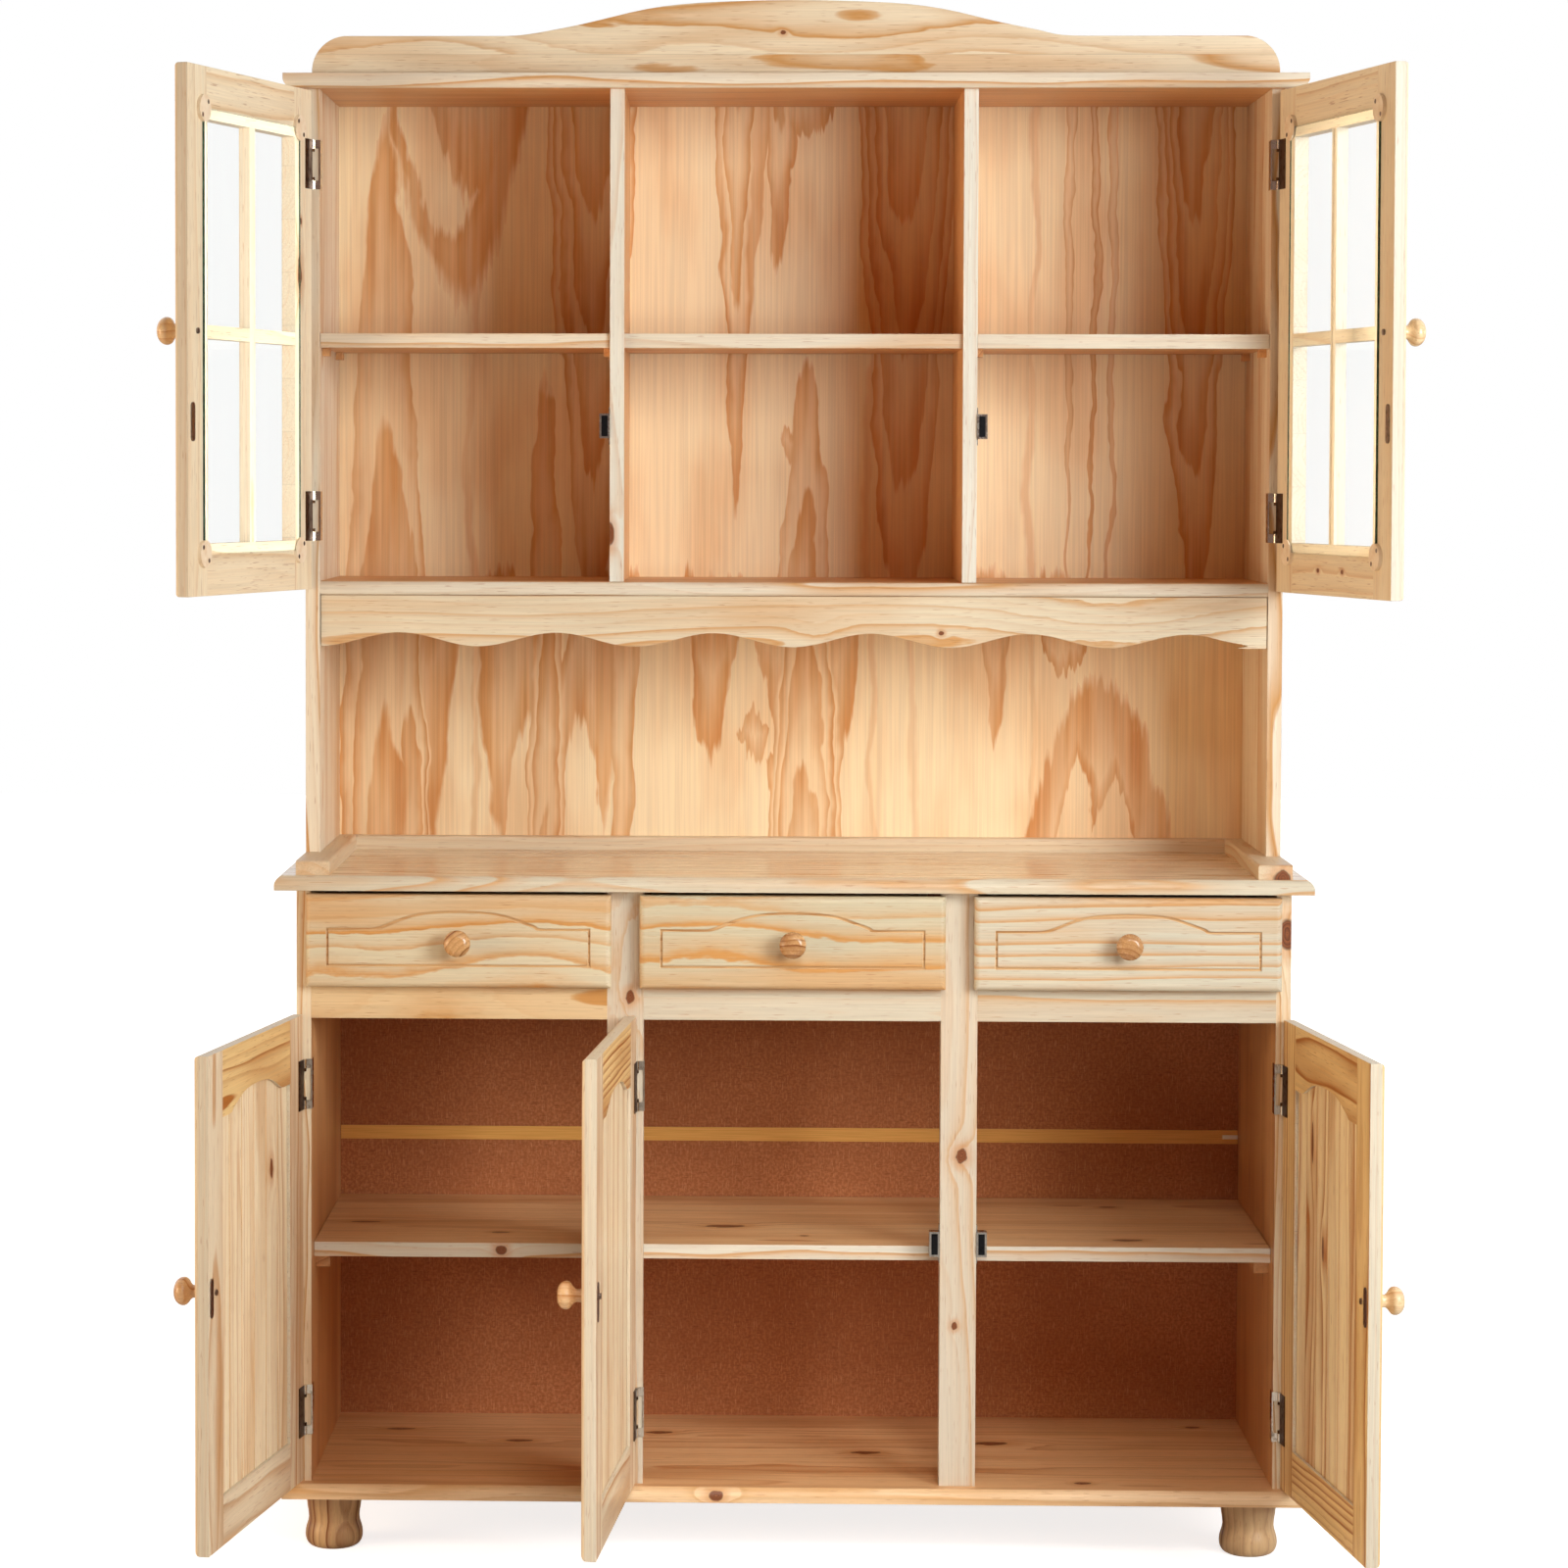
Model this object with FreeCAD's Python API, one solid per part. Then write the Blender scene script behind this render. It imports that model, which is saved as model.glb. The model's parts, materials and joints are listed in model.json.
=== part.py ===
"""Pine kitchen dresser: a base cupboard with three drawers and three panelled doors, and above it a hutch
with two glazed doors, an open middle bay and a display space under a scalloped valance.

Millimetres, +Z up. The origin is on the floor, in the middle of the width, in the plane of the base's front
frame, and the front faces -Y. The doors stand open at the photographed angles and the drawers are shut."""

import math
import os

import FreeCAD
import Part

os.makedirs("parts", exist_ok=True)
Vector = FreeCAD.Vector

# Boards, sheets and general fits
board = 18.0
hardboard = 3.0
plywood = 4.0
sheet_groove = 6.0
sheet_slack = 0.3
shelf_slack = 0.6
overrun = 6.0
plane_match = 0.1

# Base cupboard
carcass_width = 1228.0
base_depth = 388.0
base_side_height = 739.0
base_back_inset = 10.0
foot_height = 72.0
foot_radius = 36.0
foot_inset_side = 42.0
foot_inset_front = 44.0
foot_inset_back = 48.0
moulding_reach = 8.5
moulding_lip = 1.5
countertop_side_overhang = 26.0
countertop_front_overhang = 19.0
bottom_side_overhang = 17.0
bottom_front_overhang = 22.5
post_width = 45.0
post_depth = 28.0
rail_height = 39.0
rail_depth = 18.0
drawer_opening_height = 121.0
joining_strip_height = 18.0
joining_strip_wall = 1.0
joining_strip_level = 377.0
base_shelf_level = 276.0
base_shelf_setback = 30.0
shelf_back_gap = 2.0
cleat_section = 18.0
cleat_end_gap = 25.0

# Drawers
front_overlay = 5.0
drawer_front_height = 115.0
drawer_front_reveal = 4.5
drawer_front_gap = 0.5
front_edge_round = 7.0
routed_margin_side = 25.5
routed_margin_bottom = 26.0
routed_shoulder_height = 48.0
routed_shoulder_length = 53.0
routed_width = 3.0
routed_depth = 2.0
arch_rise = 21.5
drawer_side = 12.0
drawer_side_height = 85.0
drawer_box_length = 330.0
drawer_box_clearance = 2.5
drawer_bottom_level = 8.0
drawer_slide_gap = 0.4
runner_thickness = 12.0
runner_bearing = 20.0
guide_height = 12.0
guide_gap = 0.6

# Hutch
hutch_setback = 110.0
hutch_depth = 270.0
hutch_back_inset = 10.0
hutch_side_height = 961.0
hutch_top_side_overhang = 26.0
hutch_top_front_overhang = 22.0
hutch_top_rear_overhang = 4.0
foot_strip_width = 42.0
foot_strip_height = 18.0
foot_strip_front_inset = 2.0
foot_strip_round = 4.0
hutch_bay = 365.5
hutch_floor_level = 361.0
hutch_floor_round = 6.0
hutch_shelf_rise = 312.0
hutch_shelf_setback = 5.0
shelf_block_width = 9.0
shelf_block_height = 10.0
shelf_block_length = 22.0
shelf_block_inset = 28.0
valance_height = 64.0
valance_setback = 2.0
valance_end_gap = 1.0
scallop_depth = 17.5
scallop_count = 6
scallop_points = 8
crest_length = 1209.0
crest_height = 91.5
crest_shoulder_height = 47.0
crest_corner_reach = 41.0
crest_inset = 8.0

# Doors
door_thickness = 18.0
door_stile = 55.0
door_edge_round = 7.0
lower_door_bottom_gap = 3.0
lower_door_top_overlay = 5.0
lower_door_top_rail = 57.0
lower_door_bottom_rail = 58.0
door_shoulder_length = 24.0
door_groove = 9.0
door_tongue_haunch = 12.0
door_panel = 9.0
panel_slack = 0.3
plank_count = 6
plank_bevel = 1.6
upper_door_top_gap = 3.0
upper_door_bottom_overlay = 8.0
upper_door_divider_overlay = 7.0
upper_door_rail = 62.0
glazing_bar_width = 16.0
glazing_bar_depth = 14.0
glass_thickness = 3.0
glass_overlap = 12.0
clip_radius = 16.0
clip_lip = 1.6
clip_screw_offset = 8.0

# Photographed door angles, in degrees from shut
lower_left_angle = 100.7
lower_middle_angle = 95.4
lower_right_angle = 97.5
upper_left_angle = 106.5
upper_right_angle = 103.0

# Knobs, hinges, catches and fastenings
knob_radius = 16.5
knob_projection = 30.0
lower_knob_level = 306.0
upper_knob_level = 303.0
drawer_knob_level = 57.0
knob_screw_radius = 2.0
knob_screw_head_radius = 3.6
knob_screw_head_height = 2.0
knob_screw_grip = 14.0
hinge_length = 62.0
hinge_leaf = 1.4
hinge_leaf_gap = 0.6
hinge_door_leaf_width = 20.0
hinge_frame_leaf_width = 19.0
hinge_end_inset = 56.0
upper_hinge_end_inset = 61.0
knuckle_radius = 3.2
knuckle_gap = 0.4
knuckle_frame_gap = 0.3
knuckle_length = 15.0
frame_knuckle_length = 11.0
knuckle_end_play = 0.2
pin_radius = 1.5
pin_running_fit = 0.05
screw_head_radius = 2.8
screw_head_height = 1.4
screw_shank_radius = 1.4
screw_length = 12.0
hinge_screw_pitch = 20.0
frame_hinge_screw_pitch = 26.0
catch_proud = 13.0
catch_depth = 15.0
catch_height = 31.0
catch_flange_length = 8.0
catch_flange = 1.2
catch_air_gap = 0.3
magnet_width = 8.0
magnet_height = 26.0
magnet_depth = 6.0
strike_width = 11.0
strike_height = 46.0
strike_thickness = 1.2
strike_round = 5.0
strike_screw_pitch = 34.0
lower_strike_level = 302.0
upper_strike_level = 196.0
dowel_radius = 4.0
dowel_length = 28.0
dowel_slack = 0.5
foot_dowel_radius = 6.0
foot_dowel_length = 40.0
crest_dowel_pitch = 420.0

# Outline tables: shares of the half length and of the rise they follow
crest_curve_shares = ((0.60, 0.0), (0.51, 0.14), (0.42, 0.39), (0.345, 0.64), (0.27, 0.83), (0.13, 0.965),
                      (0.0, 1.0))
arch_curve_shares = ((1.0, 0.0), (0.88, 0.10), (0.72, 0.42), (0.52, 0.76), (0.28, 0.95), (0.0, 1.0))
foot_profile_shares = ((0.76, 0.0), (0.93, 0.065), (1.0, 0.20), (0.955, 0.34), (0.885, 0.46), (0.92, 0.66),
                       (0.955, 0.84), (0.93, 1.0))
knob_profile_shares = ((0.60, 0.0), (0.47, 0.16), (0.46, 0.30), (0.66, 0.44), (0.95, 0.58), (1.0, 0.70),
                       (0.90, 0.86), (0.56, 1.0))
quarter_arc_share = math.sqrt(0.5)

# Levels and planes that the sizes give
half_width = carcass_width / 2
inside_half = half_width - board
bottom_low = foot_height
bottom_top = bottom_low + board
counter_low = bottom_top + base_side_height
counter_top = counter_low + board
opening_width = (carcass_width - 2 * board - 2 * post_width) / 3
post_inner = opening_width / 2
post_outer = post_inner + post_width
rail_top = counter_low - drawer_opening_height
rail_low = rail_top - rail_height
base_sheet_back = base_depth - base_back_inset
base_sheet_front = base_sheet_back - hardboard
strip_top = counter_top + foot_strip_height
hutch_top_low = strip_top + hutch_side_height
hutch_top_high = hutch_top_low + board
hutch_rear = hutch_setback + hutch_depth
ply_back = hutch_rear - hutch_back_inset
ply_front = ply_back - plywood
divider_outer = inside_half - hutch_bay
divider_inner = divider_outer - board
floor_top = counter_top + hutch_floor_level
floor_low = floor_top - board
hutch_shelf_top = floor_top + hutch_shelf_rise
door_gap = 2 * hinge_leaf + hinge_leaf_gap
axis_setoff = knuckle_radius + knuckle_frame_gap
door_edge = knuckle_radius + knuckle_gap
axis_overlay = front_overlay + door_edge
inner_face = axis_setoff - door_gap
outer_face = inner_face - door_thickness


def box(x_range, y_range, z_range):
    corner = Vector(x_range[0], y_range[0], z_range[0])
    return Part.makeBox(x_range[1] - x_range[0], y_range[1] - y_range[0], z_range[1] - z_range[0], corner)


def mirrored(shape):
    return shape.mirror(Vector(0, 0, 0), Vector(1, 0, 0))


def both_sides(shape):
    return [shape, mirrored(shape)]


def line(start, end):
    return Part.makeLine(start, end)


def curve(points, start_tangent, end_tangent):
    spline = Part.BSplineCurve()
    spline.interpolate(Points=points, InitialTangent=start_tangent, FinalTangent=end_tangent)
    return spline.toShape()


def prism(edges, direction):
    return Part.Face(Part.Wire(edges)).extrude(direction)


def polygon_prism(points, direction):
    return Part.Face(Part.makePolygon(points + points[:1])).extrude(direction)


def joined(shapes):
    whole = shapes[0]
    for shape in shapes[1:]:
        whole = whole.fuse(shape)
    return whole.removeSplitter()


def cut_all(shape, cutters):
    for cutter in cutters:
        shape = shape.cut(cutter)
    return shape


def export(node, solids):
    Part.makeCompound(solids).exportStep("parts/" + node + ".step")


def edges_on(shape, axis, place):
    """The edges that lie wholly in the plane where the named axis has this value."""
    chosen = []
    for edge in shape.Edges:
        low = getattr(edge.BoundBox, axis + "Min")
        high = getattr(edge.BoundBox, axis + "Max")
        if abs(low - place) < plane_match and abs(high - place) < plane_match:
            chosen.append(edge)
    return chosen


def turned(shares, radius, length):
    """A piece turned on the lathe, standing on its end at the origin along +Z."""
    points = [Vector(radius * wide, 0, length * up) for wide, up in shares]
    outline = Part.BSplineCurve()
    outline.interpolate(points)
    foot = Vector(0, 0, 0)
    head = Vector(0, 0, length)
    edges = [line(foot, points[0]), outline.toShape(), line(points[-1], head), line(head, foot)]
    return Part.Face(Part.Wire(edges)).revolve(Vector(0, 0, 0), Vector(0, 0, 1), 360)


def screw(seat, direction):
    """A countersunk wood screw whose flat head is flush with the seat."""
    head = Part.makeCone(screw_head_radius, screw_shank_radius, screw_head_height, seat, direction)
    shank = Part.makeCylinder(screw_shank_radius, screw_length, seat, direction)
    return head.fuse(shank).removeSplitter()


def dowel(middle, direction, radius, length):
    start = middle - direction * (length / 2)
    return Part.makeCylinder(radius, length, start, direction)


def dowel_hole(middle, direction, radius, length):
    return dowel(middle, direction, radius, length + 2 * dowel_slack)


def moulded_board(half_length, front, rear, low, high, wide_side_low):
    """A board whose front and ends carry a quarter-round moulding, widest at its lower or upper face."""
    wide = low if wide_side_low else high
    narrow = high if wide_side_low else low
    upward = 1 if wide_side_low else -1
    lip = wide + upward * moulding_lip
    middle_in = moulding_reach * (1 - quarter_arc_share)
    middle_up = lip + (narrow - lip) * quarter_arc_share

    def section(place, inward):
        corner = place(0, lip)
        middle = place(inward * middle_in, middle_up)
        end = place(inward * moulding_reach, narrow)
        return corner, middle, end

    front_points = section(lambda shift, up: Vector(-half_length, front + shift, up), 1)
    along_x = prism([line(Vector(-half_length, rear, wide), Vector(-half_length, front, wide)),
                     line(Vector(-half_length, front, wide), front_points[0]),
                     Part.Arc(*front_points).toShape(),
                     line(front_points[2], Vector(-half_length, rear, narrow)),
                     line(Vector(-half_length, rear, narrow), Vector(-half_length, rear, wide))],
                    Vector(2 * half_length, 0, 0))
    left = section(lambda shift, up: Vector(-half_length + shift, front, up), 1)
    right = section(lambda shift, up: Vector(half_length + shift, front, up), -1)
    along_y = prism([line(Vector(half_length, front, wide), Vector(-half_length, front, wide)),
                     line(Vector(-half_length, front, wide), left[0]),
                     Part.Arc(*left).toShape(),
                     line(left[2], right[2]),
                     Part.Arc(*reversed(right)).toShape(),
                     line(right[0], Vector(half_length, front, wide))],
                    Vector(0, rear - front, 0))
    return along_x.common(along_y).removeSplitter()


def rounded_slab(x_range, y_range, z_range, radius):
    """A board whose outer (front) face has all four edges rounded."""
    slab = box(x_range, y_range, z_range)
    return slab.makeFillet(radius, edges_on(slab, "Y", y_range[0]))


def arched_outline(x_range, low, shoulder, shoulder_length, y):
    """Closed outline with a flat bottom, two short shoulders and an arch between them."""
    left = x_range[0] + shoulder_length
    right = x_range[1] - shoulder_length
    middle = (left + right) / 2
    half = (right - left) / 2
    rising = [Vector(middle - half * out, y, shoulder + arch_rise * up) for out, up in arch_curve_shares]
    falling = [Vector(middle + half * out, y, shoulder + arch_rise * up) for out, up in arch_curve_shares]
    points = rising + falling[-2::-1]
    corners = [Vector(x_range[0], y, low), Vector(x_range[0], y, shoulder),
               Vector(x_range[1], y, shoulder), Vector(x_range[1], y, low)]
    level = Vector(half, 0, 0)
    return [line(corners[0], corners[1]), line(corners[1], points[0]), curve(points, level, level),
            line(points[-1], corners[2]), line(corners[2], corners[3]), line(corners[3], corners[0])]


def knob_with_screw(x, face, level, thickness):
    """A turned knob on an outer face that looks along -Y, and the screw that holds it from behind."""
    knob = turned(knob_profile_shares, knob_radius, knob_projection)
    knob.rotate(Vector(0, 0, 0), Vector(1, 0, 0), 90)
    knob.translate(Vector(x, face, level))
    back = face + thickness
    seat = Vector(x, back, level)
    shank = Part.makeCylinder(knob_screw_radius, thickness + knob_screw_grip, seat, Vector(0, -1, 0))
    head = Part.makeCylinder(knob_screw_head_radius, knob_screw_head_height, seat, Vector(0, 1, 0))
    fastening = shank.fuse(head).removeSplitter()
    return knob.cut(fastening), fastening


# Base cupboard: the sides stand on the bottom board and carry the countertop
frame_screws = []
dowels = []
side_blank = box((-half_width, -inside_half), (0, base_depth), (bottom_top, counter_low))
sheet_slot_y = (base_sheet_front - sheet_slack, base_sheet_back + sheet_slack)
side_blank = side_blank.cut(box((-inside_half - sheet_groove, -inside_half + overrun), sheet_slot_y,
                                (bottom_top - overrun, counter_low + overrun)))
bottom_board = moulded_board(half_width + bottom_side_overhang, -bottom_front_overhang, base_depth,
                             bottom_low, bottom_top, True)
countertop = moulded_board(half_width + countertop_side_overhang, -countertop_front_overhang, base_depth,
                           counter_low, counter_top, True)
foot_places = []
for x in (-half_width + foot_inset_side, half_width - foot_inset_side):
    for y in (foot_inset_front, base_depth - foot_inset_back):
        foot_places.append(Vector(x, y, bottom_low))
feet = []
for place in foot_places:
    foot = turned(foot_profile_shares, foot_radius, foot_height)
    foot.translate(Vector(place.x, place.y, 0))
    up = Vector(0, 0, 1)
    below = foot_dowel_length - (board - moulding_lip)
    middle = place + up * (foot_dowel_length / 2 - below)
    hole = dowel_hole(middle, up, foot_dowel_radius, foot_dowel_length)
    feet.append(foot.cut(hole))
    board_hole = dowel_hole(middle, up, foot_dowel_radius, foot_dowel_length - dowel_slack)
    bottom_board = bottom_board.cut(board_hole)
    dowels.append(dowel(middle, up, foot_dowel_radius, foot_dowel_length - 2 * dowel_slack))

# Front frame: two posts, and a rail under each drawer
post_blank = box((post_inner, post_outer), (0, post_depth), (bottom_top, counter_low))
rails = [box((-inside_half, -post_outer), (0, rail_depth), (rail_low, rail_top)),
         box((-post_inner, post_inner), (0, rail_depth), (rail_low, rail_top)),
         box((post_outer, inside_half), (0, rail_depth), (rail_low, rail_top))]
rail_dowel_level = (rail_low + rail_top) / 2
rail_dowel_y = rail_depth / 2
rail_dowels = []
for x in (-inside_half, -post_outer, -post_inner, post_inner, post_outer, inside_half):
    rail_dowels.append(Vector(x, rail_dowel_y, rail_dowel_level))
along_x = Vector(1, 0, 0)
rail_holes = [dowel_hole(place, along_x, dowel_radius, dowel_length) for place in rail_dowels]
dowels += [dowel(place, along_x, dowel_radius, dowel_length) for place in rail_dowels]
rails = [cut_all(rail, rail_holes) for rail in rails]
post_dowels = []
for x in (-(post_inner + post_outer) / 2, (post_inner + post_outer) / 2):
    for z in (bottom_top, counter_low):
        post_dowels.append(Vector(x, post_depth / 2, z))
along_z = Vector(0, 0, 1)
post_holes = [dowel_hole(place, along_z, dowel_radius, dowel_length) for place in post_dowels]
dowels += [dowel(place, along_z, dowel_radius, dowel_length) for place in post_dowels]
posts = [cut_all(post, rail_holes + post_holes) for post in both_sides(post_blank)]
bottom_board = cut_all(bottom_board, post_holes)
countertop = cut_all(countertop, post_holes)
base_sides = [cut_all(side, rail_holes) for side in both_sides(side_blank)]

# Drawer carriers behind the front frame: a rear rail, a runner beside each drawer, guides behind the posts
runner_z = (rail_top - runner_thickness, rail_top)
rear_rail = box((-inside_half, inside_half), (base_sheet_front - rail_depth, base_sheet_front),
                (rail_low, runner_z[0]))
runner_reach = drawer_box_clearance + runner_bearing
side_runner = box((-inside_half, -inside_half + runner_reach), (rail_depth, base_sheet_front), runner_z)
post_runner = box((post_inner - runner_reach, post_outer + runner_reach), (post_depth, base_sheet_front),
                  runner_z)
guide_spread = drawer_box_clearance - guide_gap
guide = box((post_inner - guide_spread, post_outer + guide_spread), (post_depth, base_sheet_front),
            (rail_top, rail_top + guide_height))
runners = [rear_rail] + both_sides(side_runner) + both_sides(post_runner) + both_sides(guide)

# Base back: two hardboard sheets in the side grooves, joined by a plastic strip of H section
strip_middle = bottom_top + joining_strip_level
web_half = joining_strip_wall / 2
sheet_half = inside_half + sheet_groove - sheet_slack
sheet_y = (base_sheet_front, base_sheet_back)
back_sheets = [box((-sheet_half, sheet_half), sheet_y, (bottom_top, strip_middle - web_half)),
               box((-sheet_half, sheet_half), sheet_y, (strip_middle + web_half, counter_low))]
strip_x = (-inside_half + shelf_slack, inside_half - shelf_slack)
strip_z = (strip_middle - joining_strip_height / 2, strip_middle + joining_strip_height / 2)
joining_strip = joined([
    box(strip_x, (base_sheet_front - joining_strip_wall, base_sheet_front), strip_z),
    box(strip_x, sheet_y, (strip_middle - web_half, strip_middle + web_half)),
    box(strip_x, (base_sheet_back, base_sheet_back + joining_strip_wall), strip_z)])

# Base shelf, loose on a cleat at each end
base_shelf_low = bottom_top + base_shelf_level
base_shelf = box((-inside_half + shelf_slack, inside_half - shelf_slack),
                 (base_shelf_setback, base_sheet_front - shelf_back_gap),
                 (base_shelf_low, base_shelf_low + board))
cleat = box((-inside_half, -inside_half + cleat_section),
            (base_shelf_setback + cleat_end_gap, base_sheet_front - cleat_end_gap),
            (base_shelf_low - cleat_section, base_shelf_low))
cleats = both_sides(cleat)

# Hutch: foot strips on the countertop, sides on the strips, floor, dividers and shelves between them
strip_front = -countertop_front_overhang + moulding_reach + foot_strip_front_inset
foot_strip_z = (counter_top, strip_top)
foot_strip = box((-half_width, -half_width + foot_strip_width), (strip_front, hutch_rear), foot_strip_z)
strip_edges = []
for edge in edges_on(foot_strip, "Z", strip_top):
    if edge.BoundBox.YMin < hutch_setback and edge.BoundBox.XMax > -half_width + foot_strip_round:
        strip_edges.append(edge)
foot_strip = foot_strip.makeFillet(foot_strip_round, strip_edges)
back_strip = box((-half_width + foot_strip_width, half_width - foot_strip_width),
                 (ply_front - board, ply_front), foot_strip_z)
back_strip = back_strip.makeFillet(foot_strip_round, [edge for edge in edges_on(back_strip, "Z", strip_top)
                                                      if edge.BoundBox.YMax < ply_front - foot_strip_round])
foot_strips = both_sides(foot_strip) + [back_strip]
ply_slot_y = (ply_front - sheet_slack, ply_back + sheet_slack)
hutch_side = box((-half_width, -inside_half), (hutch_setback, hutch_rear), (strip_top, hutch_top_low))
hutch_side = hutch_side.cut(box((-inside_half - sheet_groove, -inside_half + overrun), ply_slot_y,
                                (strip_top - overrun, hutch_top_low + overrun)))
hutch_sides = both_sides(hutch_side)
hutch_floor = box((-inside_half, inside_half), (hutch_setback, ply_front), (floor_low, floor_top))
floor_edges = [edge for edge in edges_on(hutch_floor, "Y", hutch_setback) if edge.Length > inside_half]
hutch_floor = hutch_floor.makeFillet(hutch_floor_round, floor_edges)
divider = box((divider_inner, divider_outer), (hutch_setback, ply_front), (floor_top, hutch_top_low))
dividers = both_sides(divider)
shelf_y = (hutch_setback + hutch_shelf_setback, ply_front - shelf_back_gap)
hutch_shelf_z = (hutch_shelf_top - board, hutch_shelf_top)
outer_shelf = box((divider_outer + shelf_slack, inside_half - shelf_slack), shelf_y, hutch_shelf_z)
middle_shelf = box((-divider_inner, divider_inner), shelf_y, hutch_shelf_z)
hutch_shelves = both_sides(outer_shelf) + [middle_shelf]
block_z = (hutch_shelf_z[0] - shelf_block_height, hutch_shelf_z[0])
for y in (shelf_y[0] + shelf_block_inset, shelf_y[1] - shelf_block_inset - shelf_block_length):
    block_y = (y, y + shelf_block_length)
    cleats += both_sides(box((divider_outer, divider_outer + shelf_block_width), block_y, block_z))
    cleats += both_sides(box((inside_half - shelf_block_width, inside_half), block_y, block_z))
ply_half = inside_half + sheet_groove - sheet_slack
hutch_back = box((-ply_half, ply_half), (ply_front, ply_back), (strip_top, hutch_top_low))

# Scalloped valance under the hutch floor
valance_half = inside_half - valance_end_gap
valance_front = hutch_setback + valance_setback
valance_low = floor_low - valance_height
scallop_steps = scallop_count * scallop_points
scallop = []
for step in range(scallop_steps + 1):
    rise = scallop_depth * (1 - math.cos(2 * math.pi * step / scallop_points)) / 2
    along = -valance_half + 2 * valance_half * step / scallop_steps
    scallop.append(Vector(along, valance_front, valance_low + rise))
level_run = Vector(valance_half, 0, 0)
valance_top = [Vector(valance_half, valance_front, floor_low),
               Vector(-valance_half, valance_front, floor_low)]
valance = prism([curve(scallop, level_run, level_run), line(scallop[-1], valance_top[0]),
                 line(valance_top[0], valance_top[1]), line(valance_top[1], scallop[0])], Vector(0, board, 0))

# Hutch top board, and the arched crest board doweled upright on it
hutch_top = moulded_board(half_width + hutch_top_side_overhang, hutch_setback - hutch_top_front_overhang,
                          hutch_rear + hutch_top_rear_overhang, hutch_top_low, hutch_top_high, False)
crest_half = crest_length / 2
crest_front = hutch_setback - crest_inset
crest_rise = crest_height - crest_shoulder_height
shoulder_top = hutch_top_high + crest_shoulder_height
crest_left = []
crest_right = []
for out, up in crest_curve_shares:
    crest_left.append(Vector(-crest_half * out, crest_front, shoulder_top + crest_rise * up))
    crest_right.append(Vector(crest_half * out, crest_front, shoulder_top + crest_rise * up))
crest_points = crest_left + crest_right[-2::-1]
corner_in = crest_corner_reach * (1 - quarter_arc_share)
corner_up = crest_shoulder_height * quarter_arc_share


def crest_corner(hand):
    foot = Vector(hand * crest_half, crest_front, hutch_top_high)
    middle = Vector(hand * (crest_half - corner_in), crest_front, hutch_top_high + corner_up)
    top = Vector(hand * (crest_half - crest_corner_reach), crest_front, shoulder_top)
    return foot, middle, top


left_corner = crest_corner(-1)
right_corner = crest_corner(1)
level_run = Vector(crest_half, 0, 0)
crest = prism([Part.Arc(*left_corner).toShape(), line(left_corner[2], crest_points[0]),
               curve(crest_points, level_run, level_run), line(crest_points[-1], right_corner[2]),
               Part.Arc(*reversed(right_corner)).toShape(), line(right_corner[0], left_corner[0])],
              Vector(0, board, 0))
crest_dowels = []
for x in (-crest_dowel_pitch, 0, crest_dowel_pitch):
    crest_dowels.append(Vector(x, crest_front + board / 2, hutch_top_high))
crest_holes = [dowel_hole(place, along_z, dowel_radius, dowel_length) for place in crest_dowels]
dowels += [dowel(place, along_z, dowel_radius, dowel_length) for place in crest_dowels]
crest = cut_all(crest, crest_holes)
hutch_top = cut_all(hutch_top, crest_holes)


def hinge_knuckles(level):
    """Height ranges of a hinge's frame knuckles and, inside them, its door knuckles."""
    top = level + hinge_length / 2
    low = level - hinge_length / 2
    frame_ranges = [(top - frame_knuckle_length, top), (low, low + frame_knuckle_length)]
    door_ranges = [(top - knuckle_length, top - frame_knuckle_length - knuckle_end_play),
                   (low + frame_knuckle_length + knuckle_end_play, low + knuckle_length)]
    return frame_ranges, door_ranges


def tube(z_range):
    return Part.makeCylinder(knuckle_radius, z_range[1] - z_range[0], Vector(0, 0, z_range[0]))


def bore(radius, level):
    start = Vector(0, 0, level - hinge_length / 2 - overrun)
    return Part.makeCylinder(radius, hinge_length + 2 * overrun, start)


def frame_leaf(level):
    """The hinge leaf that wraps the front edge of a side or post; the hinge axis is at the origin."""
    front = axis_setoff - hinge_leaf
    plate_x = (axis_overlay, axis_overlay + hinge_leaf)
    shapes = [box(plate_x, (front, front + hinge_frame_leaf_width),
                  (level - hinge_length / 2, level + hinge_length / 2))]
    for z_range in hinge_knuckles(level)[0]:
        shapes.append(tube(z_range))
        shapes.append(box((0, plate_x[1]), (front, axis_setoff), z_range))
    leaf = joined(shapes).cut(bore(pin_radius, level))
    seats = []
    for shift in (-frame_hinge_screw_pitch / 2, frame_hinge_screw_pitch / 2):
        seats.append(Vector(plate_x[1], front + hinge_frame_leaf_width / 2, level + shift))
    screws = [screw(seat, Vector(-1, 0, 0)) for seat in seats]
    pins = []
    for start in (level - hinge_length / 2, level + hinge_length / 2 - knuckle_length):
        pins.append(Part.makeCylinder(pin_radius, knuckle_length, Vector(0, 0, start)))
    return cut_all(leaf, screws), pins, screws


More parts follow.
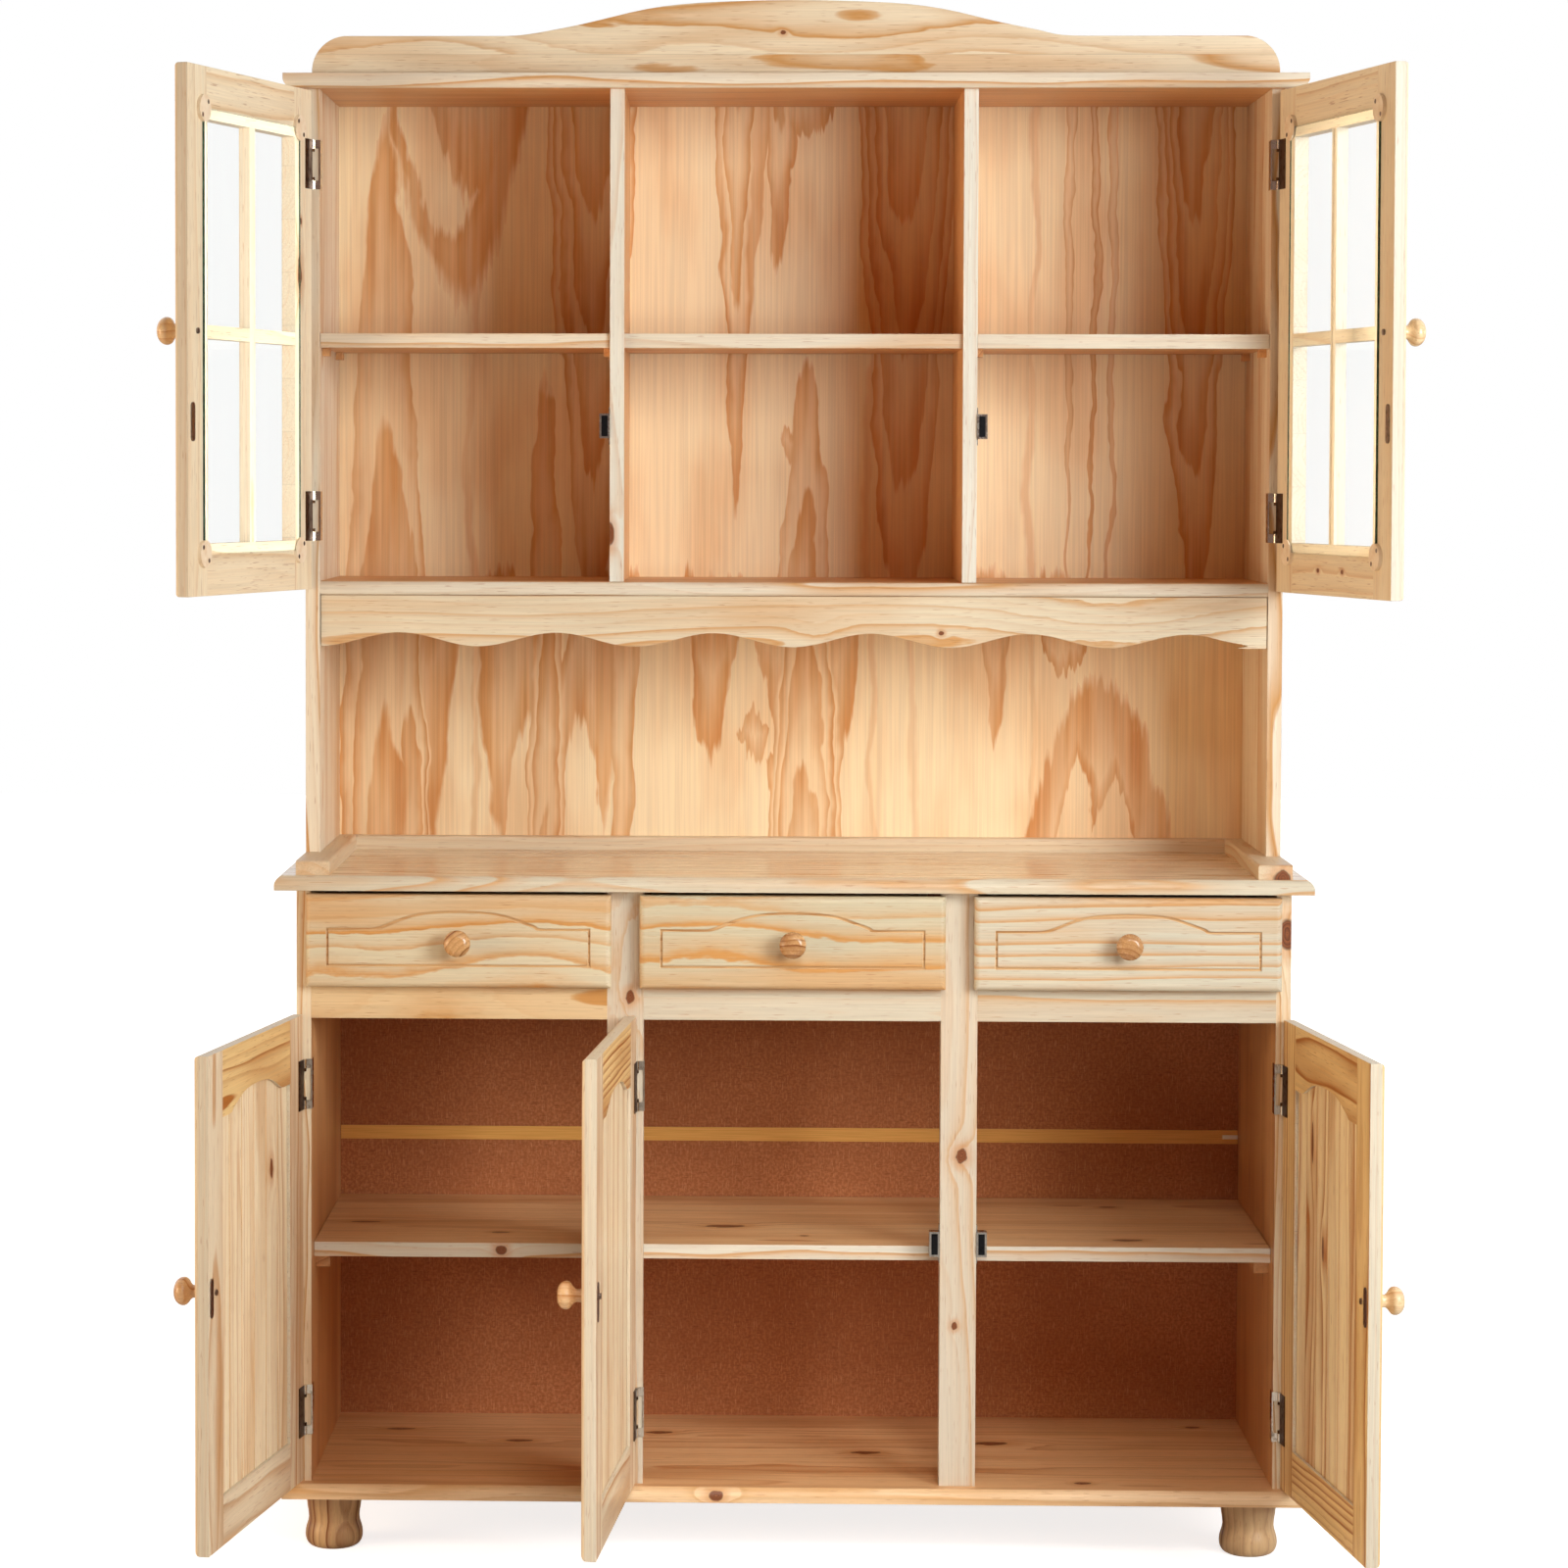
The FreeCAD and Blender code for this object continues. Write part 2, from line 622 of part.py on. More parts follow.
def door_leaf(level):
    """The hinge leaf screwed to a door's inner face, with its two short knuckles."""
    plate_y = (inner_face, inner_face + hinge_leaf)
    shapes = [box((door_edge, door_edge + hinge_door_leaf_width), plate_y,
                  (level - hinge_length / 2, level + hinge_length / 2))]
    for z_range in hinge_knuckles(level)[1]:
        shapes.append(tube(z_range))
        shapes.append(box((0, door_edge), plate_y, z_range))
    leaf = joined(shapes).cut(bore(pin_radius + pin_running_fit, level))
    screws = []
    for shift in (-hinge_screw_pitch, 0, hinge_screw_pitch):
        seat = Vector(door_edge + hinge_door_leaf_width / 2, plate_y[1], level + shift)
        screws.append(screw(seat, Vector(0, -1, 0)))
    return cut_all(leaf, screws), screws


def strike_plate(x, level):
    """The catch's steel strike plate, screwed to a door's inner face."""
    plate = box((x - strike_width / 2, x + strike_width / 2), (inner_face, inner_face + strike_thickness),
                (level - strike_height / 2, level + strike_height / 2))
    plate = plate.makeFillet(strike_round, [edge for edge in plate.Edges
                                            if edge.BoundBox.YLength > strike_thickness / 2])
    screws = []
    for shift in (-strike_screw_pitch / 2, strike_screw_pitch / 2):
        screws.append(screw(Vector(x, inner_face + strike_thickness, level + shift), Vector(0, -1, 0)))
    return cut_all(plate, screws), screws


def door_hardware(width, hinge_levels, strike_x, strike_level, knob_level):
    """Hinge leaves, strike plate, knob and every screw of one shut door that is hinged at its left."""
    metal = []
    fastenings = []
    for level in hinge_levels:
        leaf, screws = door_leaf(level)
        metal.append(leaf)
        fastenings += screws
    plate, screws = strike_plate(strike_x, strike_level)
    metal.append(plate)
    fastenings += screws
    knob_x = door_edge + width - door_stile / 2
    knob, knob_screw = knob_with_screw(knob_x, outer_face, knob_level, door_thickness)
    fastenings.append(knob_screw)
    return knob, metal, fastenings


def door_rail_tongues(x_range, z_range):
    """The stub tongues at both ends of a rail."""
    half = door_panel / 2
    middle = (inner_face + outer_face) / 2
    tongue_y = (middle - half, middle + half)
    reach = door_groove - panel_slack
    return [box((x_range[0] - reach, x_range[0]), tongue_y, z_range),
            box((x_range[1], x_range[1] + reach), tongue_y, z_range)]


def door_slot_y():
    half = door_panel / 2 + panel_slack
    middle = (inner_face + outer_face) / 2
    return (middle - half, middle + half)


def lower_door(width, low, high, hinge_levels, strike_x, strike_level, knob_level):
    """A shut panelled door with its hinge axis at the origin: frame, panel planks, knob, metal."""
    x_range = (door_edge, door_edge + width)
    opening = (x_range[0] + door_stile, x_range[1] - door_stile)
    through_y = (outer_face - overrun, inner_face + overrun)
    slab = rounded_slab(x_range, (outer_face, inner_face), (low, high), door_edge_round)
    stile_slot = box((opening[0] - door_groove, opening[1] + door_groove), door_slot_y(),
                     (low + door_tongue_haunch, high - door_tongue_haunch))
    stiles = [slab.common(box((x_range[0], opening[0]), through_y, (low, high))).cut(stile_slot),
              slab.common(box((opening[1], x_range[1]), through_y, (low, high))).cut(stile_slot)]
    bottom_rail_top = low + lower_door_bottom_rail
    slot_low = bottom_rail_top - door_groove
    bottom_rail = slab.common(box(opening, through_y, (low, bottom_rail_top)))
    bottom_rail = bottom_rail.cut(box(opening, door_slot_y(), (slot_low, bottom_rail_top + overrun)))
    low_tongues = door_rail_tongues(opening, (low + door_tongue_haunch + panel_slack, slot_low))
    bottom_rail = joined([bottom_rail] + low_tongues)
    shoulder = high - lower_door_top_rail - arch_rise
    slot_high = shoulder + arch_rise + door_groove
    opening_shape = prism(arched_outline(opening, low, shoulder, door_shoulder_length, through_y[0]),
                          Vector(0, through_y[1] - through_y[0], 0))
    top_rail = slab.common(box(opening, through_y, (shoulder, high))).cut(opening_shape)
    top_rail = top_rail.cut(box(opening, door_slot_y(), (shoulder - overrun, slot_high)))
    high_tongues = door_rail_tongues(opening, (slot_high, high - door_tongue_haunch - panel_slack))
    top_rail = joined([top_rail] + high_tongues)
    knob, metal, fastenings = door_hardware(width, hinge_levels, strike_x, strike_level, knob_level)
    frame = [cut_all(piece, fastenings) for piece in stiles] + [top_rail, bottom_rail]

    panel_x = (opening[0] - door_groove + panel_slack, opening[1] + door_groove - panel_slack)
    plank_width = (panel_x[1] - panel_x[0]) / plank_count
    middle = (inner_face + outer_face) / 2
    back = middle - door_panel / 2
    face = middle + door_panel / 2
    plank_low = slot_low + panel_slack
    plank_high = slot_high - panel_slack
    planks = []
    for index in range(plank_count):
        start = panel_x[0] + index * plank_width
        end = start + plank_width
        section = [Vector(start, back + plank_bevel, plank_low), Vector(start + plank_bevel, back, plank_low),
                   Vector(end - plank_bevel, back, plank_low), Vector(end, back + plank_bevel, plank_low),
                   Vector(end, face - plank_bevel, plank_low), Vector(end - plank_bevel, face, plank_low),
                   Vector(start + plank_bevel, face, plank_low), Vector(start, face - plank_bevel, plank_low)]
        planks.append(polygon_prism(section, Vector(0, 0, plank_high - plank_low)))
    return {"frame": frame, "panel": planks, "knob": [knob], "hardware": metal + fastenings}


def glass_clip(x, level, inward_x, inward_z):
    """A round clip on a corner of the pane: it sits on the frame beside the pane and laps over its corner."""
    height = glass_thickness + clip_lip
    disc = Part.makeCylinder(clip_radius, height, Vector(x, inner_face, level), Vector(0, 1, 0))
    far_x = x + inward_x * (clip_radius + overrun)
    far_z = level + inward_z * (clip_radius + overrun)
    pane_y = (inner_face - overrun, inner_face + glass_thickness)
    pane_corner = box(sorted((x, far_x)), pane_y, sorted((level, far_z)))
    seat_y = inner_face + height
    seats = [Vector(x + inward_x * clip_screw_offset, seat_y, level - inward_z * clip_screw_offset),
             Vector(x - inward_x * clip_screw_offset, seat_y, level + inward_z * clip_screw_offset)]
    screws = [screw(seat, Vector(0, -1, 0)) for seat in seats]
    return cut_all(disc, [pane_corner] + screws), screws


def upper_door(width, low, high, hinge_levels, strike_x, strike_level, knob_level):
    """A shut glazed door with its hinge axis at the origin: frame and bars, glass, clips, knob, metal."""
    x_range = (door_edge, door_edge + width)
    opening = (x_range[0] + door_stile, x_range[1] - door_stile)
    opening_z = (low + upper_door_rail, high - upper_door_rail)
    through_y = (outer_face - overrun, inner_face + overrun)
    slab = rounded_slab(x_range, (outer_face, inner_face), (low, high), door_edge_round)
    tongue_ranges = [(low + door_tongue_haunch, opening_z[0] - door_tongue_haunch),
                     (opening_z[1] + door_tongue_haunch, high - door_tongue_haunch)]
    mortises = []
    for z_range in tongue_ranges:
        mortises.append(box((opening[0] - door_groove, opening[1] + door_groove), door_slot_y(),
                            (z_range[0] - panel_slack, z_range[1] + panel_slack)))
    stiles = [slab.common(box((x_range[0], opening[0]), through_y, (low, high))),
              slab.common(box((opening[1], x_range[1]), through_y, (low, high)))]
    rails = [slab.common(box(opening, through_y, (low, opening_z[0]))),
             slab.common(box(opening, through_y, (opening_z[1], high)))]
    rails = [joined([rail] + door_rail_tongues(opening, z_range))
             for rail, z_range in zip(rails, tongue_ranges)]
    middle_x = (opening[0] + opening[1]) / 2
    middle_z = (opening_z[0] + opening_z[1]) / 2
    bar_half = glazing_bar_width / 2
    bar_y = (inner_face - glazing_bar_depth, inner_face)
    bars = [box((middle_x - bar_half, middle_x + bar_half), bar_y, opening_z),
            box((opening[0], middle_x - bar_half), bar_y, (middle_z - bar_half, middle_z + bar_half)),
            box((middle_x + bar_half, opening[1]), bar_y, (middle_z - bar_half, middle_z + bar_half))]
    glass_x = (opening[0] - glass_overlap, opening[1] + glass_overlap)
    glass_z = (opening_z[0] - glass_overlap, opening_z[1] + glass_overlap)
    glass = box(glass_x, (inner_face, inner_face + glass_thickness), glass_z)
    clips = []
    knob, metal, fastenings = door_hardware(width, hinge_levels, strike_x, strike_level, knob_level)
    for x, inward_x in ((glass_x[0], 1), (glass_x[1], -1)):
        for level, inward_z in ((glass_z[0], 1), (glass_z[1], -1)):
            clip, screws = glass_clip(x, level, inward_x, inward_z)
            clips.append(clip)
            fastenings += screws
    frame = [cut_all(piece, mortises + fastenings) for piece in stiles]
    frame += [cut_all(piece, fastenings) for piece in rails] + bars
    return {"frame": frame, "glass": [glass], "clips": clips, "knob": [knob], "hardware": metal + fastenings}


def hung(solids, axis, angle, hand):
    """Hangs shut pieces on their hinge axis and swings them open; hand is 1 hinged left, -1 hinged right."""
    placed = []
    for solid in solids:
        piece = solid.copy() if hand > 0 else mirrored(solid)
        piece.rotate(Vector(0, 0, 0), Vector(0, 0, 1), -hand * angle)
        piece.translate(axis)
        placed.append(piece)
    return placed


# Doors: hinge axes beside the opening edges, strikes opposite the catches
hinge_leaves = []
hinge_pins = []
lower_low = bottom_top + lower_door_bottom_gap
lower_high = rail_low + lower_door_top_overlay
lower_width = opening_width + 2 * front_overlay
lower_hinges = (lower_low + hinge_end_inset + hinge_length / 2,
                lower_high - hinge_end_inset - hinge_length / 2)
lower_strike = bottom_top + lower_strike_level
lower_strike_x = axis_overlay + opening_width - catch_proud / 2
upper_low = floor_low + upper_door_bottom_overlay
upper_high = hutch_top_low - upper_door_top_gap
upper_width = hutch_bay + front_overlay + upper_door_divider_overlay
upper_hinges = (upper_low + upper_hinge_end_inset + hinge_length / 2,
                upper_high - upper_hinge_end_inset - hinge_length / 2)
upper_strike = floor_top + upper_strike_level
upper_strike_x = axis_overlay + hutch_bay - catch_proud / 2
lower_axis_y = -axis_setoff
upper_axis_y = hutch_setback - axis_setoff
door_plan = (
    ("lower_door_left", -inside_half - axis_overlay, lower_axis_y, lower_left_angle, 1),
    ("lower_door_middle", -post_inner - axis_overlay, lower_axis_y, lower_middle_angle, 1),
    ("lower_door_right", inside_half + axis_overlay, lower_axis_y, lower_right_angle, -1),
    ("upper_door_left", -inside_half - axis_overlay, upper_axis_y, upper_left_angle, 1),
    ("upper_door_right", inside_half + axis_overlay, upper_axis_y, upper_right_angle, -1))
lower_pieces = lower_door(lower_width, lower_low, lower_high, lower_hinges, lower_strike_x, lower_strike,
                          bottom_top + lower_knob_level)
upper_pieces = upper_door(upper_width, upper_low, upper_high, upper_hinges, upper_strike_x, upper_strike,
                          floor_top + upper_knob_level)
for name, axis_x, axis_y, angle, hand in door_plan:
    is_lower = name.startswith("lower")
    pieces = lower_pieces if is_lower else upper_pieces
    axis = Vector(axis_x, axis_y, 0)
    for part_name, solids in pieces.items():
        export(name + "_" + part_name, hung(solids, axis, angle, hand))
    for level in lower_hinges if is_lower else upper_hinges:
        leaf, pins, screws = frame_leaf(level)
        hinge_leaves += hung([leaf], axis, 0, hand)
        hinge_pins += hung(pins, axis, 0, hand)
        frame_screws += hung(screws, axis, 0, hand)


def magnetic_catch(wall_x, hand, front_plane, level):
    """A catch on the side of a post or divider: a bracket round a magnet; hand is the way it stands out."""
    front = front_plane - door_gap + strike_thickness + catch_air_gap
    rear = front + catch_depth
    half = catch_height / 2
    shell = box((0, catch_proud), (front, rear), (level - half, level + half))
    flange_half = half + catch_flange_length
    flange_front = front_plane + catch_flange
    flange = box((0, catch_flange), (flange_front, rear), (level - flange_half, level + flange_half))
    magnet_x = ((catch_proud - magnet_width) / 2, (catch_proud + magnet_width) / 2)
    magnet_z = (level - magnet_height / 2, level + magnet_height / 2)
    magnet = box(magnet_x, (front, front + magnet_depth), magnet_z)
    screws = []
    for shift in (-1, 1):
        seat_z = level + shift * (catch_height + catch_flange_length) / 2
        seat = Vector(catch_flange, (flange_front + rear) / 2, seat_z)
        screws.append(screw(seat, Vector(-1, 0, 0)))
    bracket = cut_all(joined([shell, flange]), [magnet] + screws)
    placed = []
    for piece in [bracket, magnet] + screws:
        piece = piece if hand > 0 else mirrored(piece)
        piece.translate(Vector(wall_x, 0, 0))
        placed.append(piece)
    return placed[:2], placed[2:]


catches = []
catch_plan = (
    (-post_outer, -1, 0, lower_strike),
    (post_inner, -1, 0, lower_strike),
    (post_outer, 1, 0, lower_strike),
    (-divider_outer, -1, hutch_setback, upper_strike),
    (divider_outer, 1, hutch_setback, upper_strike))
for wall_x, hand, front_plane, level in catch_plan:
    pieces, screws = magnetic_catch(wall_x, hand, front_plane, level)
    catches += pieces
    frame_screws += screws
base_sides = [cut_all(side, frame_screws) for side in base_sides]
posts = [cut_all(post, frame_screws) for post in posts]
hutch_sides = [cut_all(side, frame_screws) for side in hutch_sides]
dividers = [cut_all(divider, frame_screws) for divider in dividers]

# Drawers: an overlay front with a routed line, a box of two sides and a back, and a sheet bottom
drawer_front_high = counter_low - drawer_front_reveal
drawer_front_low = drawer_front_high - drawer_front_height
drawer_low = rail_top + drawer_slide_gap
sheet_low = drawer_low + drawer_bottom_level
groove_z = (sheet_low - sheet_slack, sheet_low + hardboard + sheet_slack)
for name, middle in (("drawer_left", -opening_width - post_width), ("drawer_middle", 0),
                     ("drawer_right", opening_width + post_width)):
    front_x = (middle - opening_width / 2 - front_overlay, middle + opening_width / 2 + front_overlay)
    front_y = (-drawer_front_gap - board, -drawer_front_gap)
    front = rounded_slab(front_x, front_y, (drawer_front_low, drawer_front_high), front_edge_round)
    line_x = (front_x[0] + routed_margin_side, front_x[1] - routed_margin_side)
    line_low = drawer_front_low + routed_margin_bottom
    shoulder = line_low + routed_shoulder_height
    cut_depth = Vector(0, routed_depth, 0)
    island_x = (line_x[0] + routed_width, line_x[1] - routed_width)
    outside = arched_outline(line_x, line_low, shoulder, routed_shoulder_length, front_y[0])
    island = arched_outline(island_x, line_low + routed_width, shoulder - routed_width,
                            routed_shoulder_length, front_y[0])
    routed_line = prism(outside, cut_depth).cut(prism(island, cut_depth))
    front = front.cut(routed_line)
    knob, fastening = knob_with_screw(middle, front_y[0], drawer_front_low + drawer_knob_level, board)
    half = opening_width / 2 - drawer_box_clearance
    box_y = (front_y[1], front_y[1] + drawer_box_length)
    box_z = (drawer_low, drawer_low + drawer_side_height)
    groove = box((middle - half + drawer_side - sheet_groove, middle + half - drawer_side + sheet_groove),
                 (front_y[1] - sheet_groove, box_y[1] + overrun), groove_z)
    sides = [box((middle - half, middle - half + drawer_side), box_y, box_z).cut(groove),
             box((middle + half - drawer_side, middle + half), box_y, box_z).cut(groove)]
    back = box((middle - half + drawer_side, middle + half - drawer_side), (box_y[1] - drawer_side, box_y[1]),
               (sheet_low + hardboard, box_z[1]))
    sheet = box((middle - half + drawer_side - sheet_groove + sheet_slack,
                 middle + half - drawer_side + sheet_groove - sheet_slack),
                (front_y[1] - sheet_groove + sheet_slack, box_y[1]), (sheet_low, sheet_low + hardboard))
    export(name + "_front", [cut_all(front, [groove, fastening])])
    export(name + "_box", sides + [back])
    export(name + "_bottom", [sheet])
    export(name + "_knob", [knob, fastening])

export("base_sides", base_sides)
export("base_bottom_board", [bottom_board])
export("countertop", [countertop])
export("front_posts", posts)
export("drawer_rails", rails)
export("drawer_runners", runners)
export("base_back_panels", back_sheets)
export("back_joining_strip", [joining_strip])
export("base_shelf", [base_shelf])
export("shelf_cleats", cleats)
export("bun_feet", feet)
export("hutch_foot_strips", foot_strips)
export("hutch_sides", hutch_sides)
export("hutch_dividers", dividers)
export("hutch_floor", [hutch_floor])
export("hutch_shelves", hutch_shelves)
export("hutch_back_panel", [hutch_back])
export("scalloped_valance", [valance])
export("hutch_top_board", [hutch_top])
export("crest_board", [crest])
export("hinge_frame_leaves", hinge_leaves)
export("hinge_pins", hinge_pins)
export("magnetic_catches", catches)
export("frame_screws", frame_screws)
export("dowels", dowels)
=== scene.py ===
import json
import math

import bpy
from mathutils import Matrix, Vector


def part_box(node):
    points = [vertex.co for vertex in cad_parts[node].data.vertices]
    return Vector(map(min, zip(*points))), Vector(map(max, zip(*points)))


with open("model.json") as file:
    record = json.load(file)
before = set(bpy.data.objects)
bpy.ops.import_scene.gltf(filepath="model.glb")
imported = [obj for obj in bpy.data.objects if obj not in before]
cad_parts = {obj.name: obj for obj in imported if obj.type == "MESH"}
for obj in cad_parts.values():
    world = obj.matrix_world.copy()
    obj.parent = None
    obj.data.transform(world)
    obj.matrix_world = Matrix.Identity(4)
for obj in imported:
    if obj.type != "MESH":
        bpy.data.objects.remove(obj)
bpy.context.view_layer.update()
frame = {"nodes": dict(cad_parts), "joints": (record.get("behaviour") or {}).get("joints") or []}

# Base sides
# Two upright panels of edge-glued pine staves, sanded and clear lacquered, that stand on the bottom board.
# Their grain runs upright, and each stave shows the rings of its own tree.


def tint(red, green, blue):
    """A colour read off a screen, 0 to 255, as the light values that a shader works with."""
    shares = [part / 255 for part in (red, green, blue)]
    return tuple(s / 12.92 if s <= 0.04045 else ((s + 0.055) / 1.055) ** 2.4 for s in shares) + (1.0,)


def fill(tree, node, fills):
    """Fills a shader node's inputs with values or with other nodes' outputs."""
    for place, value in fills.items():
        if isinstance(value, bpy.types.NodeSocket):
            tree.links.new(value, node.inputs[place])
        else:
            node.inputs[place].default_value = value


def put(tree, kind, fills, **settings):
    """Adds a shader node with its settings and inputs."""
    made = tree.nodes.new("ShaderNode" + kind)
    for name, value in settings.items():
        setattr(made, name, value)
    fill(tree, made, fills)
    return made


def calc(tree, operation, *terms):
    """One sum on values or nodes' outputs."""
    return put(tree, "Math", dict(enumerate(terms)), operation=operation).outputs[0]


def plus(tree, first, second):
    return calc(tree, "ADD", first, second)


def minus(tree, first, second):
    return calc(tree, "SUBTRACT", first, second)


def times(tree, first, second):
    return calc(tree, "MULTIPLY", first, second)


def pushed(tree, value, noise, width):
    """A value that noise moves up or down by up to half a width."""
    return plus(tree, value, times(tree, minus(tree, noise, 0.5), width))


def parts(tree, vector):
    """The three parts of a place or a colour."""
    return list(put(tree, "SeparateXYZ", {0: vector}).outputs)


def blend(tree, share, first, second, mode="MIX"):
    """Two colours mixed; the share is the second one's."""
    return put(tree, "Mix", {0: share, 6: first, 7: second}, data_type="RGBA", blend_type=mode).outputs[2]


def eased(tree, value, low, high, at_low=0.0, at_high=1.0):
    """A smooth step from one value to another while the driving value goes from low to high."""
    fills = {0: value, 1: low, 2: high, 3: at_low, 4: at_high}
    return put(tree, "MapRange", fills, interpolation_type="SMOOTHSTEP").outputs[0]


def distance(tree, *steps):
    """How far a point lies from another, from its steps along each axis."""
    squares = [calc(tree, "POWER", step, 2.0) for step in steps]
    total = squares[0]
    for square in squares[1:]:
        total = plus(tree, total, square)
    return calc(tree, "SQRT", total)


def shaded(tree, colour, shade):
    """A colour made darker or lighter by a share."""
    grey = put(tree, "CombineXYZ", {0: shade, 1: shade, 2: shade}).outputs[0]
    return blend(tree, 1.0, colour, grey, "MULTIPLY")


def ramp(tree, value, stops):
    """A colour ramp through stops, each a place from 0 to 1 and a colour."""
    made = put(tree, "ValToRGB", {0: value})
    marks = made.color_ramp.elements
    marks.remove(marks[-1])
    marks[0].position, marks[0].color = stops[0]
    for place, colour in stops[1:]:
        marks.new(place).color = colour
    return made.outputs[0]


def speckle(tree, axes, stretch, detail, output="Fac"):
    """Noise whose grain is stretched differently along, across and into the board."""
    scaled = [times(tree, axis, share) for axis, share in zip(axes, stretch)]
    place = put(tree, "CombineXYZ", dict(enumerate(scaled))).outputs[0]
    return put(tree, "TexNoise", {"Vector": place, "Scale": 1.0, "Detail": detail}).outputs[output]


def new_group(name, inputs, outputs):
    """An empty shader group; inputs give each name its usual value, outputs give each name its kind."""
    tree = bpy.data.node_groups.new(name, "ShaderNodeTree")
    for label, usual in inputs.items():
        kind = "NodeSocketColor" if isinstance(usual, tuple) else "NodeSocketFloat"
        tree.interface.new_socket(label, in_out="INPUT", socket_type=kind).default_value = usual
    for label, kind in outputs.items():
        tree.interface.new_socket(label, in_out="OUTPUT", socket_type="NodeSocket" + kind)
    return tree, tree.nodes.new("NodeGroupInput").outputs, tree.nodes.new("NodeGroupOutput")


def board_axes(tree):
    """Where a point lies along, across and into its own board, in metres, and that board's number."""
    board = put(tree, "Attribute", {}, attribute_name="board").outputs["Vector"]
    number = put(tree, "Attribute", {}, attribute_name="board_number").outputs["Fac"]
    return parts(tree, board), number


def make_pine_figure():
    """Growth rings of sawn pine: round a wandering heart in each stave, pale in spring and tan in summer."""
    tree, given, result = new_group("pine figure", {
        "Stave Width": 0.09, "Stave Start": 0.0005, "Ring Width": 0.009, "Wander": 0.06, "Summer Wood": 0.8,
        "Knot Pull": 0.0, "Spring Color": tint(238, 221, 190), "Summer Color": tint(203, 150, 90)},
        {"Color": "Color", "Height": "Float"})
    log_length = 9.0
    heart_depth = 0.010
    heart_spread = 0.035
    ripple_width = 0.016
    (along, across, deep), number = board_axes(tree)
    share = calc(tree, "DIVIDE", plus(tree, across, given["Stave Start"]), given["Stave Width"])
    stave = calc(tree, "FLOOR", share)
    tag = put(tree, "CombineXYZ", {0: stave, 1: number, 2: 0.37}).outputs[0]
    luck = parts(tree, put(tree, "TexWhiteNoise", {"Vector": tag}, noise_dimensions="3D").outputs["Color"])
    along = plus(tree, along, times(tree, luck[0], log_length))
    axes = (along, across, deep)
    within = calc(tree, "FRACT", share)
    side = times(tree, minus(tree, within, luck[1]), given["Stave Width"])
    below = plus(tree, plus(tree, deep, heart_depth), times(tree, luck[2], heart_spread))
    drift = parts(tree, speckle(tree, (along, stave, number), (1.7, 3.1, 1.7), 1.0, "Color"))
    side = pushed(tree, side, drift[0], given["Wander"])
    below = pushed(tree, below, drift[1], given["Wander"])
    radius = distance(tree, side, below)
    ripple = speckle(tree, axes, (3.5, 18.0, 18.0), 2.0)
    radius = plus(tree, pushed(tree, radius, ripple, ripple_width), given["Knot Pull"])
    rings = calc(tree, "DIVIDE", radius, given["Ring Width"])
    year = put(tree, "CombineXYZ", {0: calc(tree, "FLOOR", rings), 1: stave, 2: number}).outputs[0]
    dryness = put(tree, "TexWhiteNoise", {"Vector": year}, noise_dimensions="3D").outputs["Value"]
    season = ramp(tree, calc(tree, "FRACT", rings), (
        (0.0, (0, 0, 0, 1)), (0.30, (0.04, 0.04, 0.04, 1)), (0.66, (0.36, 0.36, 0.36, 1)),
        (0.90, (1, 1, 1, 1)), (0.96, (0.7, 0.7, 0.7, 1)), (1.0, (0, 0, 0, 1))))
    summer = times(tree, season, eased(tree, dryness, 0.0, 1.0, 0.15, 1.0))
    summer = times(tree, summer, given["Summer Wood"])
    fibre = speckle(tree, axes, (9.0, 520.0, 520.0), 2.0)
    patch = speckle(tree, axes, (2.2, 15.0, 15.0), 2.0)
    honey = times(tree, eased(tree, patch, 0.45, 0.72, 0.0, 0.5), given["Summer Wood"])
    colour = blend(tree, honey, given["Spring Color"], given["Summer Color"])
    colour = blend(tree, summer, colour, given["Summer Color"])
    dash = speckle(tree, axes, (45.0, 800.0, 800.0), 0.0)
    colour = blend(tree, eased(tree, dash, 0.70, 0.80, 0.0, 0.45), colour, tint(168, 108, 62))
    shade = eased(tree, fibre, 0.3, 0.7, 0.93, 1.04)
    shade = plus(tree, shade, times(tree, luck[2], -0.06))
    seam = calc(tree, "MINIMUM", within, minus(tree, 1.0, within))
    seam = times(tree, seam, given["Stave Width"])
    seam = plus(tree, seam, eased(tree, across, 0.002, 0.003, 1.0, 0.0))
    shade = times(tree, shade, eased(tree, seam, 0.0, 0.0009, 0.84, 1.0))
    height = minus(tree, fibre, times(tree, summer, 0.4))
    fill(tree, result, {"Color": shaded(tree, colour, shade), "Height": height})
    return tree


